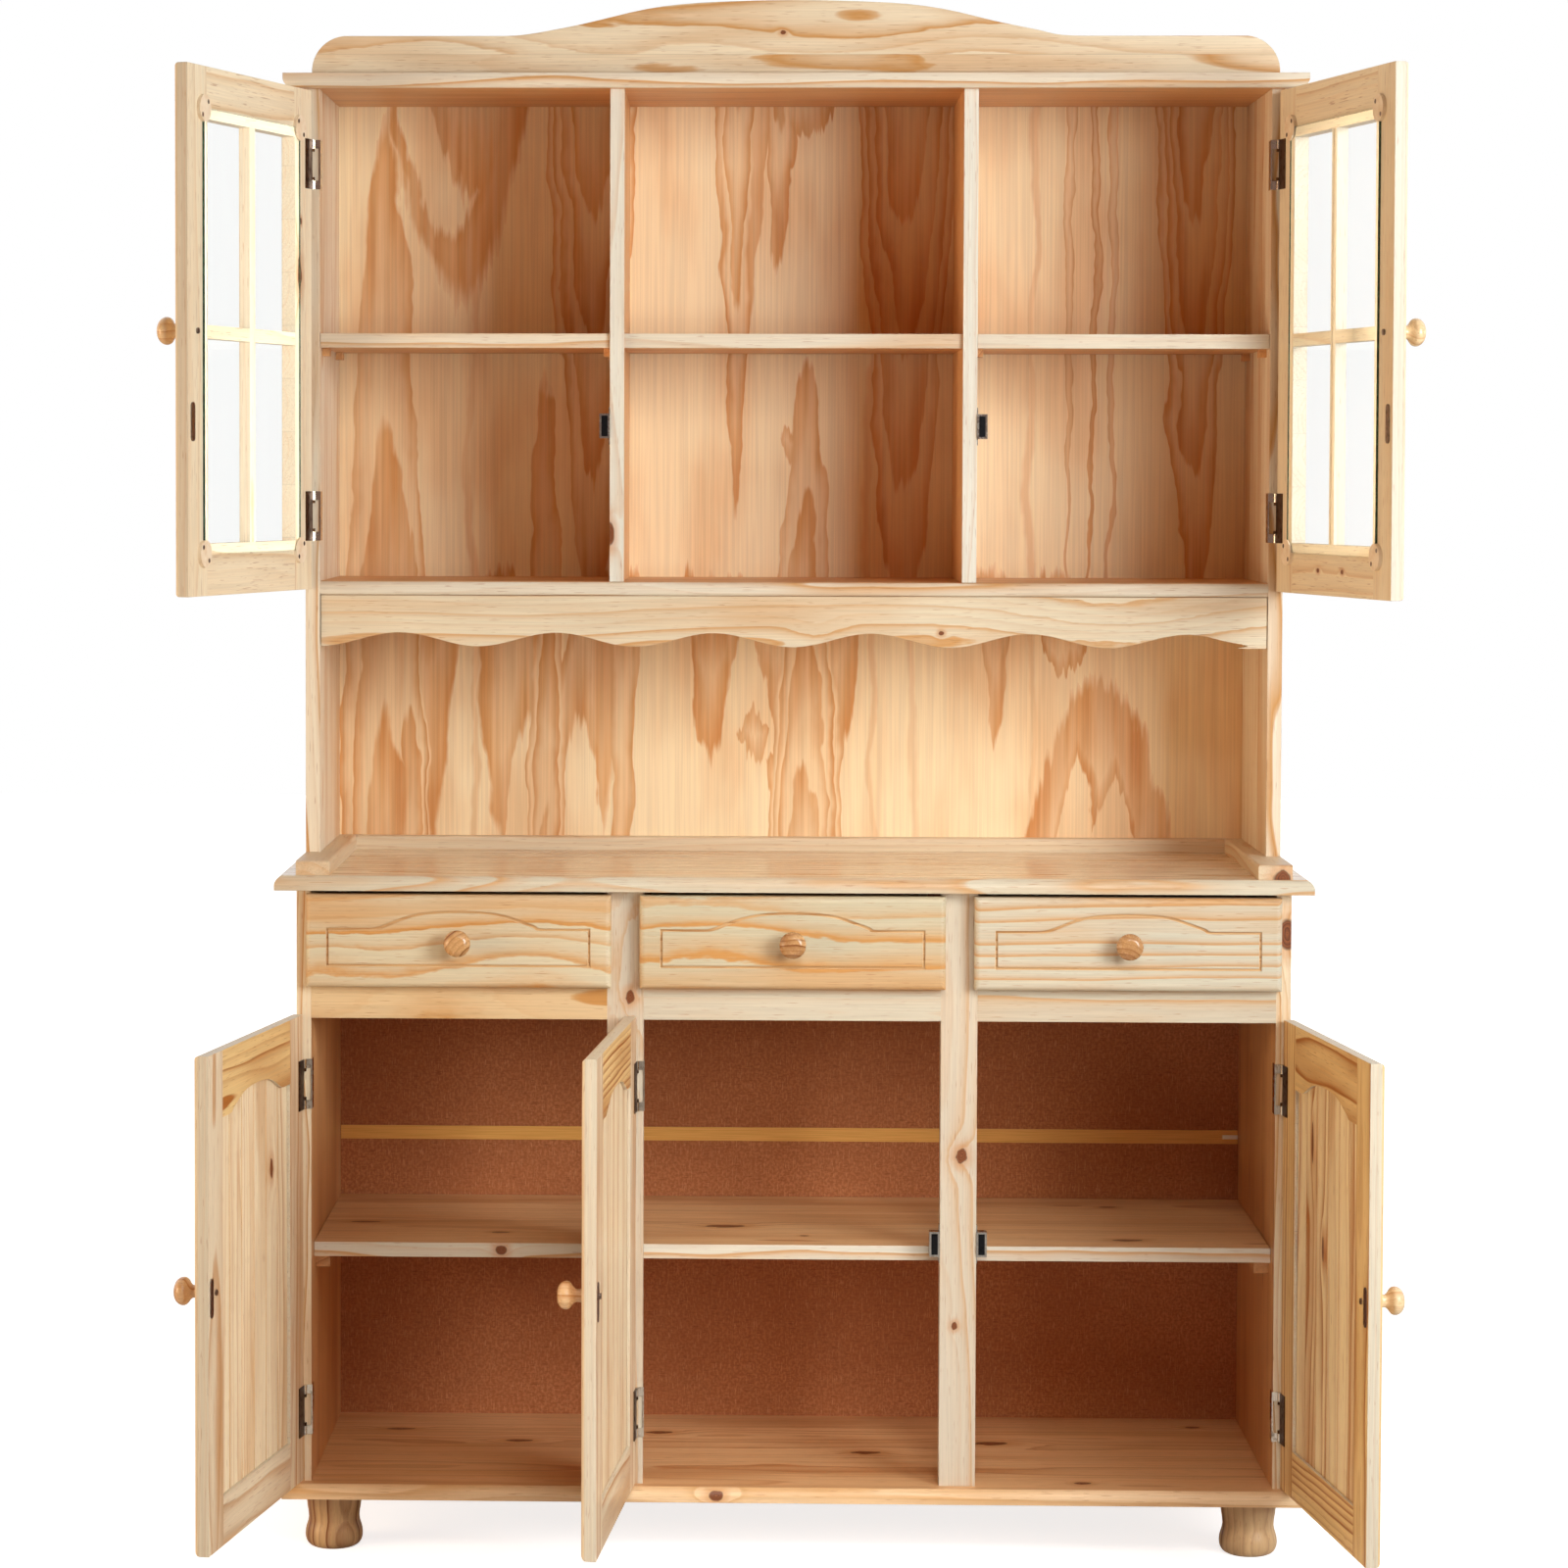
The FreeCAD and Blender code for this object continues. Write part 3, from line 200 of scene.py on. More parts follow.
def make_knot():
    """One branch knot in a numbered board: how it bends the rings, and where its core and halo lie."""
    tree, given, result = new_group("knot", {
        "Board": 0.0, "Along": 0.0, "Across": 0.0, "Deep": 0.0, "Ball": 0.0, "Radius": 0.01, "Stretch": 1.0},
        {"Pull": "Float", "Core": "Float", "Halo": "Float", "Distance": "Float"})
    (along, across, deep), number = board_axes(tree)
    here = calc(tree, "COMPARE", number, given["Board"], 0.05)
    run = calc(tree, "DIVIDE", minus(tree, along, given["Along"]), given["Stretch"])
    width = minus(tree, across, given["Across"])
    dip = times(tree, minus(tree, deep, given["Deep"]), given["Ball"])
    away = distance(tree, run, width, dip)
    rough = speckle(tree, (run, width, deep), (110.0, 110.0, 20.0), 2.0)
    away = plus(tree, calc(tree, "DIVIDE", away, given["Radius"]), minus(tree, rough, 0.5))
    swell = calc(tree, "EXPONENT", times(tree, calc(tree, "POWER", away, 2.0), -0.16))
    pull = times(tree, times(tree, swell, given["Radius"]), 1.5)
    core = eased(tree, away, 0.75, 1.05, 1.0, 0.0)
    halo = eased(tree, away, 0.9, 2.6, 0.5, 0.0)
    fill(tree, result, {"Pull": times(tree, pull, here), "Core": times(tree, core, here),
                        "Halo": times(tree, halo, here), "Distance": away})
    return tree


def make_knot_color():
    """Paints a knot over the wood round it: an orange halo, then dark rings that end in a black bark line."""
    tree, given, result = new_group("knot color", {
        "Color": tint(240, 219, 182), "Core": 0.0, "Halo": 0.0, "Distance": 1.0}, {"Color": "Color"})
    rings = calc(tree, "FRACT", times(tree, given["Distance"], 3.3))
    wood = ramp(tree, rings, ((0.0, tint(148, 86, 44)), (0.6, tint(118, 64, 32)), (1.0, tint(84, 42, 22))))
    bark = eased(tree, given["Distance"], 0.72, 0.95)
    wood = blend(tree, bark, wood, tint(58, 30, 18))
    colour = blend(tree, given["Halo"], given["Color"], tint(196, 130, 70))
    fill(tree, result, {"Color": blend(tree, given["Core"], colour, wood)})
    return tree


def make_soft_edge():
    """Arrises eased with sandpaper: a rounded normal, and a mask that is 1 along them, for paler edges that
    are partly worn and partly a painted highlight.
    """
    tree, given, result = new_group("soft edge", {"Radius": 0.0012}, {"Normal": "Vector", "Wear And Highlight": "Float"})
    rounded = put(tree, "Bevel", {"Radius": given["Radius"]}, samples=4).outputs[0]
    flat = put(tree, "NewGeometry", {}).outputs["Normal"]
    together = put(tree, "VectorMath", {0: rounded, 1: flat}, operation="DOT_PRODUCT").outputs["Value"]
    fill(tree, result, {"Normal": rounded, "Wear And Highlight": eased(tree, together, 0.55, 0.98, 1.0, 0.0)})
    return tree


pine_figure = make_pine_figure()
knot_shape = make_knot()
knot_color = make_knot_color()
soft_edge = make_soft_edge()


def new_finish(name):
    """A new material, its tree and its shader."""
    made = bpy.data.materials.new(name)
    made.use_nodes = True
    return made, made.node_tree, made.node_tree.nodes["Principled BSDF"]


def pine(name, stave=0.09, start=0.0005, ring=0.009, wander=0.06, summer=1.0, knots=(), eyes=(),
         pale=(238, 221, 190), tan=(205, 150, 86), gloss=0.42, coat=0.12):
    """Clear-lacquered pine. A knot or eye is a board's number, its place along and across, its radius and its
    stretch, and for a knot in a board's edge its depth too; an eye bends the rings and has no core. Pale and
    tan are the colours of spring and summer wood."""
    made, tree, shader = new_finish(name)
    shapes = []
    pull = 0.0
    labels = ("Board", "Along", "Across", "Radius", "Stretch", "Deep")
    for spot in (*knots, *eyes):
        fills = dict(zip(labels, spot), Ball=float(len(spot) == len(labels)))
        shape = put(tree, "Group", fills, node_tree=knot_shape).outputs
        shapes.append(shape)
        pull = plus(tree, pull, shape["Pull"])
    fills = {"Stave Width": stave, "Stave Start": start, "Ring Width": ring, "Wander": wander,
             "Summer Wood": summer, "Knot Pull": pull, "Spring Color": tint(*pale),
             "Summer Color": tint(*tan)}
    wood = put(tree, "Group", fills, node_tree=pine_figure).outputs
    colour = wood["Color"]
    for shape in shapes[:len(knots)]:
        fills = {"Color": colour, "Core": shape["Core"], "Halo": shape["Halo"], "Distance": shape["Distance"]}
        colour = put(tree, "Group", fills, node_tree=knot_color).outputs["Color"]
    edge = put(tree, "Group", {}, node_tree=soft_edge).outputs
    # Edges turn paler: partly worn lacquer, partly a painted highlight along the arrises.
    colour = blend(tree, times(tree, edge["Wear And Highlight"], 0.3), colour, tint(244, 232, 208))
    bumps = put(tree, "Bump", {"Strength": 0.3, "Distance": 0.0004, "Height": wood["Height"],
                               "Normal": edge["Normal"]}).outputs[0]
    dullness = eased(tree, wood["Height"], 0.1, 0.7, gloss - 0.06, gloss + 0.08)
    fill(tree, shader, {"Base Color": colour, "Roughness": dullness, "Normal": bumps,
                        "Specular IOR Level": 0.35, "Coat Weight": coat, "Coat Roughness": 0.2})
    return made


def lay_grain(node, sort, turn=Matrix()):
    """Gives each face its place in its own board. sort is that board's number, which also picks its figure,
    and its grain axis, or finds them from a point."""
    mesh = frame["nodes"][node].data
    places = [turn @ corner.co for corner in mesh.vertices]
    boards = {}
    for face in mesh.polygons:
        middle = sum((places[corner] for corner in face.vertices), Vector()) / len(face.vertices)
        boards.setdefault(sort(middle) if callable(sort) else sort, []).append(face)
    spot = mesh.attributes.new("board", "FLOAT_VECTOR", "CORNER").data
    number = mesh.attributes.new("board_number", "FLOAT", "FACE").data
    for (board, axis), faces in boards.items():
        corners = [places[corner] for face in faces for corner in face.vertices]
        low = Vector(min(corner[i] for corner in corners) for i in range(3))
        high = Vector(max(corner[i] for corner in corners) for i in range(3))
        along = "XYZ".index(axis)
        across, deep = sorted((i for i in range(3) if i != along), key=lambda i: low[i] - high[i])
        for face in faces:
            number[face.index].value = board
            for loop in face.loop_indices:
                place = places[mesh.loops[loop].vertex_index] - low
                spot[loop].vector = (place[along], place[across], place[deep])


def dress(node, slot, finish, *others, choose=None):
    """Gives a solid its finishes; where it has several, choose says which one a face takes."""
    piece = frame["nodes"][node]
    piece.data.materials.clear()
    for made in (finish, *others):
        piece.data.materials.append(made)
    for face in piece.data.polygons:
        face.material_index = choose(face) if choose else 0


lay_grain("base_sides", lambda place: (1 + (place.x > 0), "Z"))
side_pine = pine("glued side pine", stave=0.098, ring=0.008, knots=(
    (1, 0.20, 0.12, 0.010, 1.4), (2, 0.44, 0.20, 0.012, 1.5), (2, 0.12, 0.07, 0.008, 1.3),
    (1, 0.58, 0.30, 0.009, 1.5), (2, 0.69, 0.0, 0.011, 1.9, 0.013)))
# An amber copy of the pine for faces inside the cupboard and the hutch: painted shade, darker and warmer than
# the same boards outside.
shade_painted_pine = pine("amber pine with painted shade", stave=0.098, ring=0.008, pale=(228, 176, 120), tan=(186, 120, 66))
side_low, side_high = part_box("base_sides")
edge_margin = 0.002


def is_inner_face(face):
    """1 for a face that looks into the cupboard, apart from the front and back edges, else 0."""
    inward = face.normal.x * face.center.x < 0
    return int(inward and side_low.y + edge_margin < face.center.y < side_high.y - edge_margin)


# The inner faces take the amber pine as painted shade.
dress("base_sides", "pine", side_pine, shade_painted_pine, choose=is_inner_face)

# Bottom board
# An edge-glued pine board with a moulded front and ends. Sides and posts stand on it, feet are doweled to it.
# Its knots are the dark oval ones of a second-choice board, as nobody sees it with the doors shut.
lay_grain("base_bottom_board", (3, "X"))
bottom_knots = ((3, 0.124, 0.305, 0.007, 2.6), (3, 0.283, 0.245, 0.008, 2.2), (3, 0.464, 0.296, 0.009, 2.0),
                (3, 0.731, 0.194, 0.009, 2.2), (3, 0.895, 0.249, 0.011, 2.0), (3, 0.995, 0.042, 0.007, 1.5),
                (3, 1.164, 0.347, 0.006, 1.5))
# Its top and underside are amber: partly the board's own honey tone, partly painted shade inside the
# cupboard. The front, ends and back take a paler copy.
bottom_pine = pine("knotty bottom pine", stave=0.082, ring=0.007, wander=0.03, knots=bottom_knots,
                   pale=(232, 184, 132), tan=(190, 124, 70))
bottom_edge_pine = pine("bottom edge pine", stave=0.082, ring=0.008, wander=0.03, pale=(240, 206, 162),
                        knots=((3, 0.539, 0.0, 0.007, 1.3, 0.009),))
face_on = 0.9


def is_level(face):
    """1 for a face that lies level, such as a board's top or underside, else 0."""
    return int(abs(face.normal.z) > face_on)


def is_rim(face):
    """1 for a face of a level board's front, ends or back, else 0."""
    return 1 - is_level(face)


dress("base_bottom_board", "pine", bottom_pine, bottom_edge_pine, choose=is_rim)

# Feet
# Four feet turned from pine squares, each glued on a dowel under the bottom board.
# Turning cuts through the rings, so their bulges show strong stripes.
base_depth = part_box("base_bottom_board")[1].y
lay_grain("bun_feet", lambda place: (4 + (place.x > 0) + 2 * (place.y > base_depth / 2), "Z"))
foot_pine = pine("turned foot pine", stave=0.09, ring=0.011, wander=0.02, summer=1.5, pale=(210, 176, 130),
                 tan=(130, 76, 40))
dress("bun_feet", "pine", foot_pine)

# Front posts and drawer rails
# Solid pine squares: the posts are doweled between bottom board and countertop, the rails into posts and
# sides. One post keeps a round red-brown knot at door height, and the left rail is honey coloured.
lay_grain("front_posts", lambda place: (8 + (place.x > 0), "Z"))
post_knots = ((9, 0.412, 0.026, 0.0075, 1.3), (9, 0.20, 0.018, 0.004, 1.3), (8, 0.607, 0.028, 0.006, 1.5))
post_pine = pine("post pine", stave=0.047, ring=0.010, wander=0.04, summer=0.6, pale=(216, 203, 181),
                 knots=post_knots, eyes=((8, 0.655, 0.02, 0.018, 2.6),))
dress("front_posts", "pine", post_pine)
posts_low, posts_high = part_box("front_posts")
lay_grain("drawer_rails", lambda place: (10 + (place.x > posts_low.x) + (place.x > posts_high.x), "X"))
rail_pine = pine("rail pine", stave=0.042, ring=0.011, wander=0.04, summer=0.8, pale=(207, 197, 175))
honey_pine = pine("honey rail pine", stave=0.042, ring=0.014, wander=0.06, summer=1.2, pale=(228, 200, 156),
                  eyes=((10, 0.15, 0.018, 0.014, 3.0),))
dress("drawer_rails", "pine", rail_pine, honey_pine, choose=lambda face: int(face.center.x < posts_low.x))

# Drawer carriers
# Plain planed pine strips, glued up behind the front frame: a rear rail across the back, four runners that
# the drawers slide on and two guides between them.
rear_rail_height = 0.027
rear_rail_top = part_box("drawer_runners")[0].z + rear_rail_height
outer_bay_middle = 0.4


def carrier(place):
    """The rear rail runs across; the runners and guides run from front to back."""
    if place.z < rear_rail_top:
        return 13, "X"
    return 14 + (place.x > -outer_bay_middle) + (place.x > 0) + (place.x > outer_bay_middle), "Y"


lay_grain("drawer_runners", carrier)
dress("drawer_runners", "pine", rail_pine)

# Base back
# Two bare sheets of hardboard, pressed from brown wood fibre with short darker and paler hairs.
# They slide into grooves in the sides and meet in a plastic strip.


def make_fibreboard():
    """Pressed wood fibre: mottled, with short hairs that lie every way."""
    tree, given, result = new_group("fibreboard", {
        "Color": tint(172, 108, 68), "Dark Color": tint(150, 88, 52)}, {"Color": "Color", "Height": "Float"})
    axes = board_axes(tree)[0]
    cloud = speckle(tree, axes, (5.0, 5.0, 5.0), 2.0)
    grain = speckle(tree, axes, (260.0, 260.0, 260.0), 3.0)
    hair = speckle(tree, axes, (70.0, 620.0, 50.0), 2.0)
    cross_hair = speckle(tree, axes, (620.0, 70.0, 50.0), 2.0)
    colour = blend(tree, eased(tree, cloud, 0.3, 0.7, 0.3, 0.7), given["Dark Color"], given["Color"])
    colour = blend(tree, eased(tree, grain, 0.42, 0.62, 0.7, 0.0), colour, given["Dark Color"])
    colour = blend(tree, eased(tree, hair, 0.56, 0.72, 0.0, 0.5), colour, tint(222, 160, 110))
    colour = blend(tree, eased(tree, cross_hair, 0.56, 0.72, 0.0, 0.4), colour, tint(112, 60, 36))
    fill(tree, result, {"Color": colour, "Height": grain})
    return tree


fibreboard = make_fibreboard()


def hardboard(name, color, dark_color):
    """Bare hardboard, dull on its pressed face."""
    made, tree, shader = new_finish(name)
    fills = {"Color": tint(*color), "Dark Color": tint(*dark_color)}
    sheet = put(tree, "Group", fills, node_tree=fibreboard).outputs
    bumps = put(tree, "Bump", {"Strength": 0.25, "Distance": 0.0003, "Height": sheet["Height"]}).outputs[0]
    dullness = eased(tree, sheet["Height"], 0.3, 0.7, 0.5, 0.72)
    fill(tree, shader, {"Base Color": sheet["Color"], "Roughness": dullness, "Normal": bumps,
                        "Specular IOR Level": 0.2})
    return made


strip_low, strip_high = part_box("back_joining_strip")
lay_grain("base_back_panels", lambda place: (20 + (place.z >= strip_low.z), "Z"))
back_sheet = hardboard("brown hardboard", (208, 138, 90), (162, 97, 58))
dress("base_back_panels", "hardboard", back_sheet)

# Back joining strip
# An extruded strip of ochre plastic with an H section, which holds the two hardboard sheets edge to edge.
# A white plug shows in its right-hand end.


def object_axes(tree):
    """A point's place in the part's own frame, in metres, as x, y and z."""
    return parts(tree, put(tree, "TexCoord", {}).outputs["Object"])


strip_plastic, tree, shader = new_finish("ochre strip plastic")
lay_grain("back_joining_strip", (22, "X"))
plug_start = 0.574
plug_half_height = 0.0025
plug_blur = 0.002
scuffs = speckle(tree, board_axes(tree)[0], (14.0, 700.0, 700.0), 2.0)
ochre = blend(tree, eased(tree, scuffs, 0.35, 0.7), tint(244, 188, 100), tint(230, 172, 84))
strip_place = object_axes(tree)
strip_middle = (strip_low.z + strip_high.z) / 2
off_middle = calc(tree, "ABSOLUTE", minus(tree, strip_place[2], strip_middle))
plug = eased(tree, off_middle, plug_half_height, plug_half_height + plug_blur / 4, 1.0, 0.0)
plug = times(tree, eased(tree, strip_place[0], plug_start, plug_start + plug_blur), plug)
ochre = blend(tree, plug, ochre, tint(250, 248, 240))
fill(tree, shader, {"Base Color": ochre, "Roughness": eased(tree, scuffs, 0.3, 0.7, 0.38, 0.55)})
dress("back_joining_strip", "strip_plastic", strip_plastic)

# Base shelf and cleats
# A loose edge-glued pine shelf with oval knots. It lies on planed cleats that are glued to the sides, and
# small blocks of the same strip carry the outer shelves of the hutch.
lay_grain("base_shelf", (24, "X"))
# Its top and underside are amber: partly the board's own honey tone, partly painted shade inside the
# cupboard. The front, ends and back take a paler copy.
shelf_pine = pine("knotty shelf pine", stave=0.078, ring=0.007, wander=0.03, knots=(
    (24, 0.052, 0.140, 0.006, 3.0), (24, 0.229, 0.073, 0.006, 1.8), (24, 0.515, 0.126, 0.011, 2.4),
    (24, 0.613, 0.063, 0.004, 1.4), (24, 1.014, 0.280, 0.005, 2.2), (24, 1.019, 0.047, 0.008, 2.4)),
    pale=(234, 188, 136), tan=(192, 126, 72))
shelf_edge_pine = pine("shelf edge pine", stave=0.078, ring=0.009, wander=0.03, pale=(218, 211, 194),
                       knots=((24, 0.234, 0.0, 0.006, 1.2, 0.009),))
dress("base_shelf", "pine", shelf_pine, shelf_edge_pine, choose=is_rim)
counter_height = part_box("countertop")[1].z
lay_grain("shelf_cleats", lambda place: (25 + (place.x > 0) + 2 * (place.z > counter_height), "Y"))
# The cleats take the amber pine as painted shade.
dress("shelf_cleats", "pine", shade_painted_pine)

# Countertop
# The widest edge-glued pine board, with a moulded front and ends, doweled on the sides and posts.
# It is lacquered to a higher gloss than the rest.
lay_grain("countertop", (30, "X"))
counter_pine = pine("countertop pine", stave=0.092, ring=0.010, wander=0.05, gloss=0.26, coat=0.5)
# The front, ends and back take a darker copy of the top's pine: painted shade.
shaded_counter_edge_pine = pine("countertop edge pine with painted shade", stave=0.092, ring=0.008, wander=0.05, pale=(212, 203, 180))
dress("countertop", "pine", counter_pine, shaded_counter_edge_pine, choose=is_rim)

# Drawers
# Solid pine fronts with a routed line, in front of boxes of planed pine with hardboard bottoms.
# Each turned knob is held by a steel screw from inside the drawer.
knob_pine = pine("turned knob pine", stave=0.05, ring=0.007, wander=0.01, summer=1.5, gloss=0.22, coat=0.6,
                 pale=(206, 160, 106), tan=(132, 76, 34))


def make_plating():
    """Thin plating over steel: faint brush lines, and dull spots where it has been handled."""
    tree, given, result = new_group(
        "plating", {"Color": tint(150, 146, 140), "Dull Color": tint(96, 92, 88)},
        {"Color": "Color", "Dullness": "Float"})
    axes = object_axes(tree)
    brush = speckle(tree, axes, (1500.0, 1500.0, 160.0), 2.0)
    spots = speckle(tree, axes, (140.0, 140.0, 140.0), 3.0)
    dull = plus(tree, eased(tree, spots, 0.45, 0.75, 0.0, 0.7), eased(tree, brush, 0.4, 0.7, 0.0, 0.3))
    fill(tree, result, {"Color": blend(tree, dull, given["Color"], given["Dull Color"]), "Dullness": dull})
    return tree


plating = make_plating()


def plated(name, color, dull_color, smooth, rough):
    """Plated metal, smooth where it is bright and rough where it is dull."""
    made, tree, shader = new_finish(name)
    fills = {"Color": tint(*color), "Dull Color": tint(*dull_color)}
    coat = put(tree, "Group", fills, node_tree=plating).outputs
    dullness = eased(tree, coat["Dullness"], 0.0, 1.0, smooth, rough)
    fill(tree, shader, {"Base Color": coat["Color"], "Roughness": dullness, "Metallic": 1.0})
    return made


steel = plated("zinc plated steel", (196, 190, 180), (138, 132, 124), 0.22, 0.45)
left_drawer_pine = pine("left drawer pine", stave=0.13, ring=0.026, wander=0.09, summer=1.3,
                        pale=(213, 202, 172),
                        eyes=((31, 0.275, 0.049, 0.020, 3.4), (31, 0.02, 0.038, 0.014, 1.8)))
middle_drawer_pine = pine("middle drawer pine", stave=0.13, ring=0.03, wander=0.10, summer=1.2,
                          pale=(203, 193, 164), eyes=((37.3, 0.10, 0.07, 0.020, 3.0),))
right_drawer_pine = pine("right drawer pine", stave=0.13, ring=0.014, wander=0.03, summer=0.9,
                         pale=(206, 200, 179))
# A darker, warmer copy of the pine for the faces inside the routed lines and plank grooves: painted shade in
# the recesses.
shaded_groove_pine = pine("groove pine with painted shade", stave=0.13, ring=0.011, pale=(220, 182, 130), tan=(188, 138, 84))
box_pine = pine("drawer box pine", stave=0.1, ring=0.009, wander=0.03, summer=0.8)
front_edge = 0.012
groove_start = 0.0003
groove_depth = 0.006
box_back = 0.02
knob_seat = 0.001
drawer_bottom = hardboard("drawer hardboard", (170, 120, 80), (140, 92, 58))
for drawer, number, front_pine in (("drawer_left", 31, left_drawer_pine),
                                   ("drawer_middle", 37.3, middle_drawer_pine),
                                   ("drawer_right", 43, right_drawer_pine)):
    low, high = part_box(drawer + "_bottom")
    face_low, face_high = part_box(drawer + "_front")
    face_middle = (face_low + face_high) / 2

    def is_groove(face):
        """1 for the faces of the routed line, which lie behind the front face and clear of its edges."""
        return int(face_low.y + groove_start < face.center.y < face_low.y + groove_depth
                   and abs(face.center.x - face_middle.x) < face_high.x - face_middle.x - front_edge
                   and abs(face.center.z - face_middle.z) < face_high.z - face_middle.z - front_edge)

    def box_board(place):
        """The back of the box runs across, its two sides run from front to back."""
        if low.x < place.x < high.x and place.y > high.y - box_back:
            return number + 1, "X"
        return number + 2 + (place.x > (low.x + high.x) / 2), "Y"

    lay_grain(drawer + "_front", (number, "X"))
    dress(drawer + "_front", "pine", front_pine, shaded_groove_pine, choose=is_groove)
    lay_grain(drawer + "_box", box_board)
    dress(drawer + "_box", "pine", box_pine)
    lay_grain(drawer + "_bottom", (number + 4, "X"))
    dress(drawer + "_bottom", "hardboard", drawer_bottom)
    lay_grain(drawer + "_knob", (number + 5, "Y"))
    dress(drawer + "_knob", "pine", knob_pine, steel,
          choose=lambda face: int(face.center.y > face_low.y + knob_seat))

# Lower doors
# Framed pine doors hung on the base: stiles, a bottom rail, a top rail with an arched edge and six tongued
# planks. Top rails and the right-hand door are of golden boards; on the right-hand door the golden tone is
# partly the wood's own orange grain and partly painted warm light. Each door carries bronzed hinge leaves
# and a steel strike plate for the catch.
bronze = plated("antique bronze plating", (84, 58, 38), (46, 30, 20), 0.34, 0.55)
strike_steel = plated("strike plate steel", (150, 140, 134), (98, 90, 86), 0.3, 0.5)


def shut(body):
    """The turn that brings a door from rest to shut, its hinge line, and which way it reaches from it."""
    joint = next(joint for joint in frame["joints"] if joint["child"] == body)
    hinge = Vector(joint["pos_m"])
    turn = Matrix.Rotation(math.radians(joint["range_deg"][0]), 4, Vector(joint["axis"]))
    reach = 1 if joint["axis"][2] < 0 else -1
    return Matrix.Translation(hinge) @ turn @ Matrix.Translation(-hinge), hinge, reach


def door_span(body):
    """A shut door's lowest and highest level, and its nearest and farthest reach from the hinge line."""
    turn, hinge, reach = shut(body)
    spots = [turn @ corner.co for corner in frame["nodes"][body + "_frame"].data.vertices]
    levels = [spot.z for spot in spots]
    reaches = [reach * (spot.x - hinge.x) for spot in spots]
    return min(levels), max(levels), min(reaches), max(reaches)


leaf_reach = 0.1
edge_slope = 0.5


def past_leaf(face, hinge):
    """1 for a strike plate or screw, which lie farther from the hinge line than its leaves, else 0."""
    return int(math.hypot(face.center.x - hinge.x, face.center.y - hinge.y) > leaf_reach)


def is_edge(face, turn):
    """1 for a face that looks sideways, up or down when the door is shut, else 0."""
    return int(abs((turn.to_3x3() @ face.normal).y) < edge_slope)


# Paler than the drawer knobs' pine: painted light on knobs that stand in shade on the doors.
lit_door_knob_pine = pine("turned door knob pine with painted light", stave=0.05, ring=0.009, wander=0.01, summer=1.2, gloss=0.2,
                      coat=0.6, pale=(244, 212, 164), tan=(196, 134, 76))
door_pine = pine("door frame pine", stave=0.082, ring=0.010, wander=0.04, summer=1.3, tan=(196, 136, 72))
golden_pine = pine("golden door pine", stave=0.2, ring=0.009, wander=0.03, summer=1.4, pale=(240, 206, 144),
                   tan=(180, 112, 50))
golden_boards = {"lower_door_left": (3,), "lower_door_middle": (3,), "lower_door_right": (0, 1, 2, 3)}
door_edge_pine = pine("door edge pine", stave=0.066, ring=0.006, wander=0.003, summer=0.25,
                      pale=(218, 207, 184))
plank_pine = pine("door plank pine", stave=0.05, ring=0.009, wander=0.03, summer=0.95, pale=(251, 233, 198),
                  knots=((55, 0.36, 0.022, 0.007, 1.8),))
# Paler and more orange than the other planks: partly the boards' own orange grain, partly painted warm light
# on the right-hand door, which turns away from the key light.
lit_golden_plank_pine = pine("golden plank pine with painted light", stave=0.05, ring=0.009, wander=0.03, summer=1.3,
                         pale=(254, 232, 184), tan=(190, 122, 56),
                         knots=((75, 0.40, 0.024, 0.005, 5.0), (76, 0.28, 0.02, 0.005, 3.0)))
door_stile = 0.055
plank_count = 6
groove_slope = 0.2
for number, body in ((50, "lower_door_left"), (60, "lower_door_middle"), (70, "lower_door_right")):
    turn, hinge, reach = shut(body)
    door_low, door_high, near, far = door_span(body)

    def frame_board(place):
        """The hinge stile, the free stile, the bottom rail or the top rail."""
        out = reach * (place.x - hinge.x)
        if out < near + door_stile:
            return number, "Z"
        if out > far - door_stile:
            return number + 1, "Z"
        return number + 2 + (place.z > (door_low + door_high) / 2), "X"

    def plank_board(place):
        """The plank that holds a point, counted from the hinge stile."""
        share = (reach * (place.x - hinge.x) - near - door_stile) / (far - near - 2 * door_stile)
        return number + 4 + min(plank_count - 1, max(0, int(share * plank_count))), "Z"

    def frame_finish(face):
        """0 for a pale board of the frame, 1 for sawn edges and 2 for a golden board."""
        if is_edge(face, turn):
            return 1
        return 2 if frame_board(turn @ face.center)[0] - number in golden_boards[body] else 0

    def is_plank_groove(face):
        """1 for the sloping sides of the grooves where two planks meet, else 0."""
        facing = turn.to_3x3() @ face.normal
        return int(min(abs(facing.x), abs(facing.y)) > groove_slope)

    lay_grain(body + "_frame", frame_board, turn)
    dress(body + "_frame", "pine", door_pine, door_edge_pine, golden_pine, choose=frame_finish)
    lay_grain(body + "_panel", plank_board, turn)
    planks = lit_golden_plank_pine if body == "lower_door_right" else plank_pine
    dress(body + "_panel", "pine", planks, shaded_groove_pine, choose=is_plank_groove)
    lay_grain(body + "_knob", (number + 0.5, "Y"), turn)
    dress(body + "_knob", "pine", lit_door_knob_pine)
    dress(body + "_hardware", "bronze", bronze, strike_steel, choose=lambda face: past_leaf(face, hinge))

# Hutch foot strips
# Planed pine strips that lie on the countertop: one glued under each hutch side, and one along the back
# between them. The right-hand one has a knot in its front end.
hutch_half_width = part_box("hutch_sides")[1].x
side_strip_width = 0.0425


def strip_board(place):
    """The side strips run from front to back, the back strip across."""
    if abs(place.x) > hutch_half_width - side_strip_width:
        return 100 + (place.x > 0), "Y"
    return 102, "X"


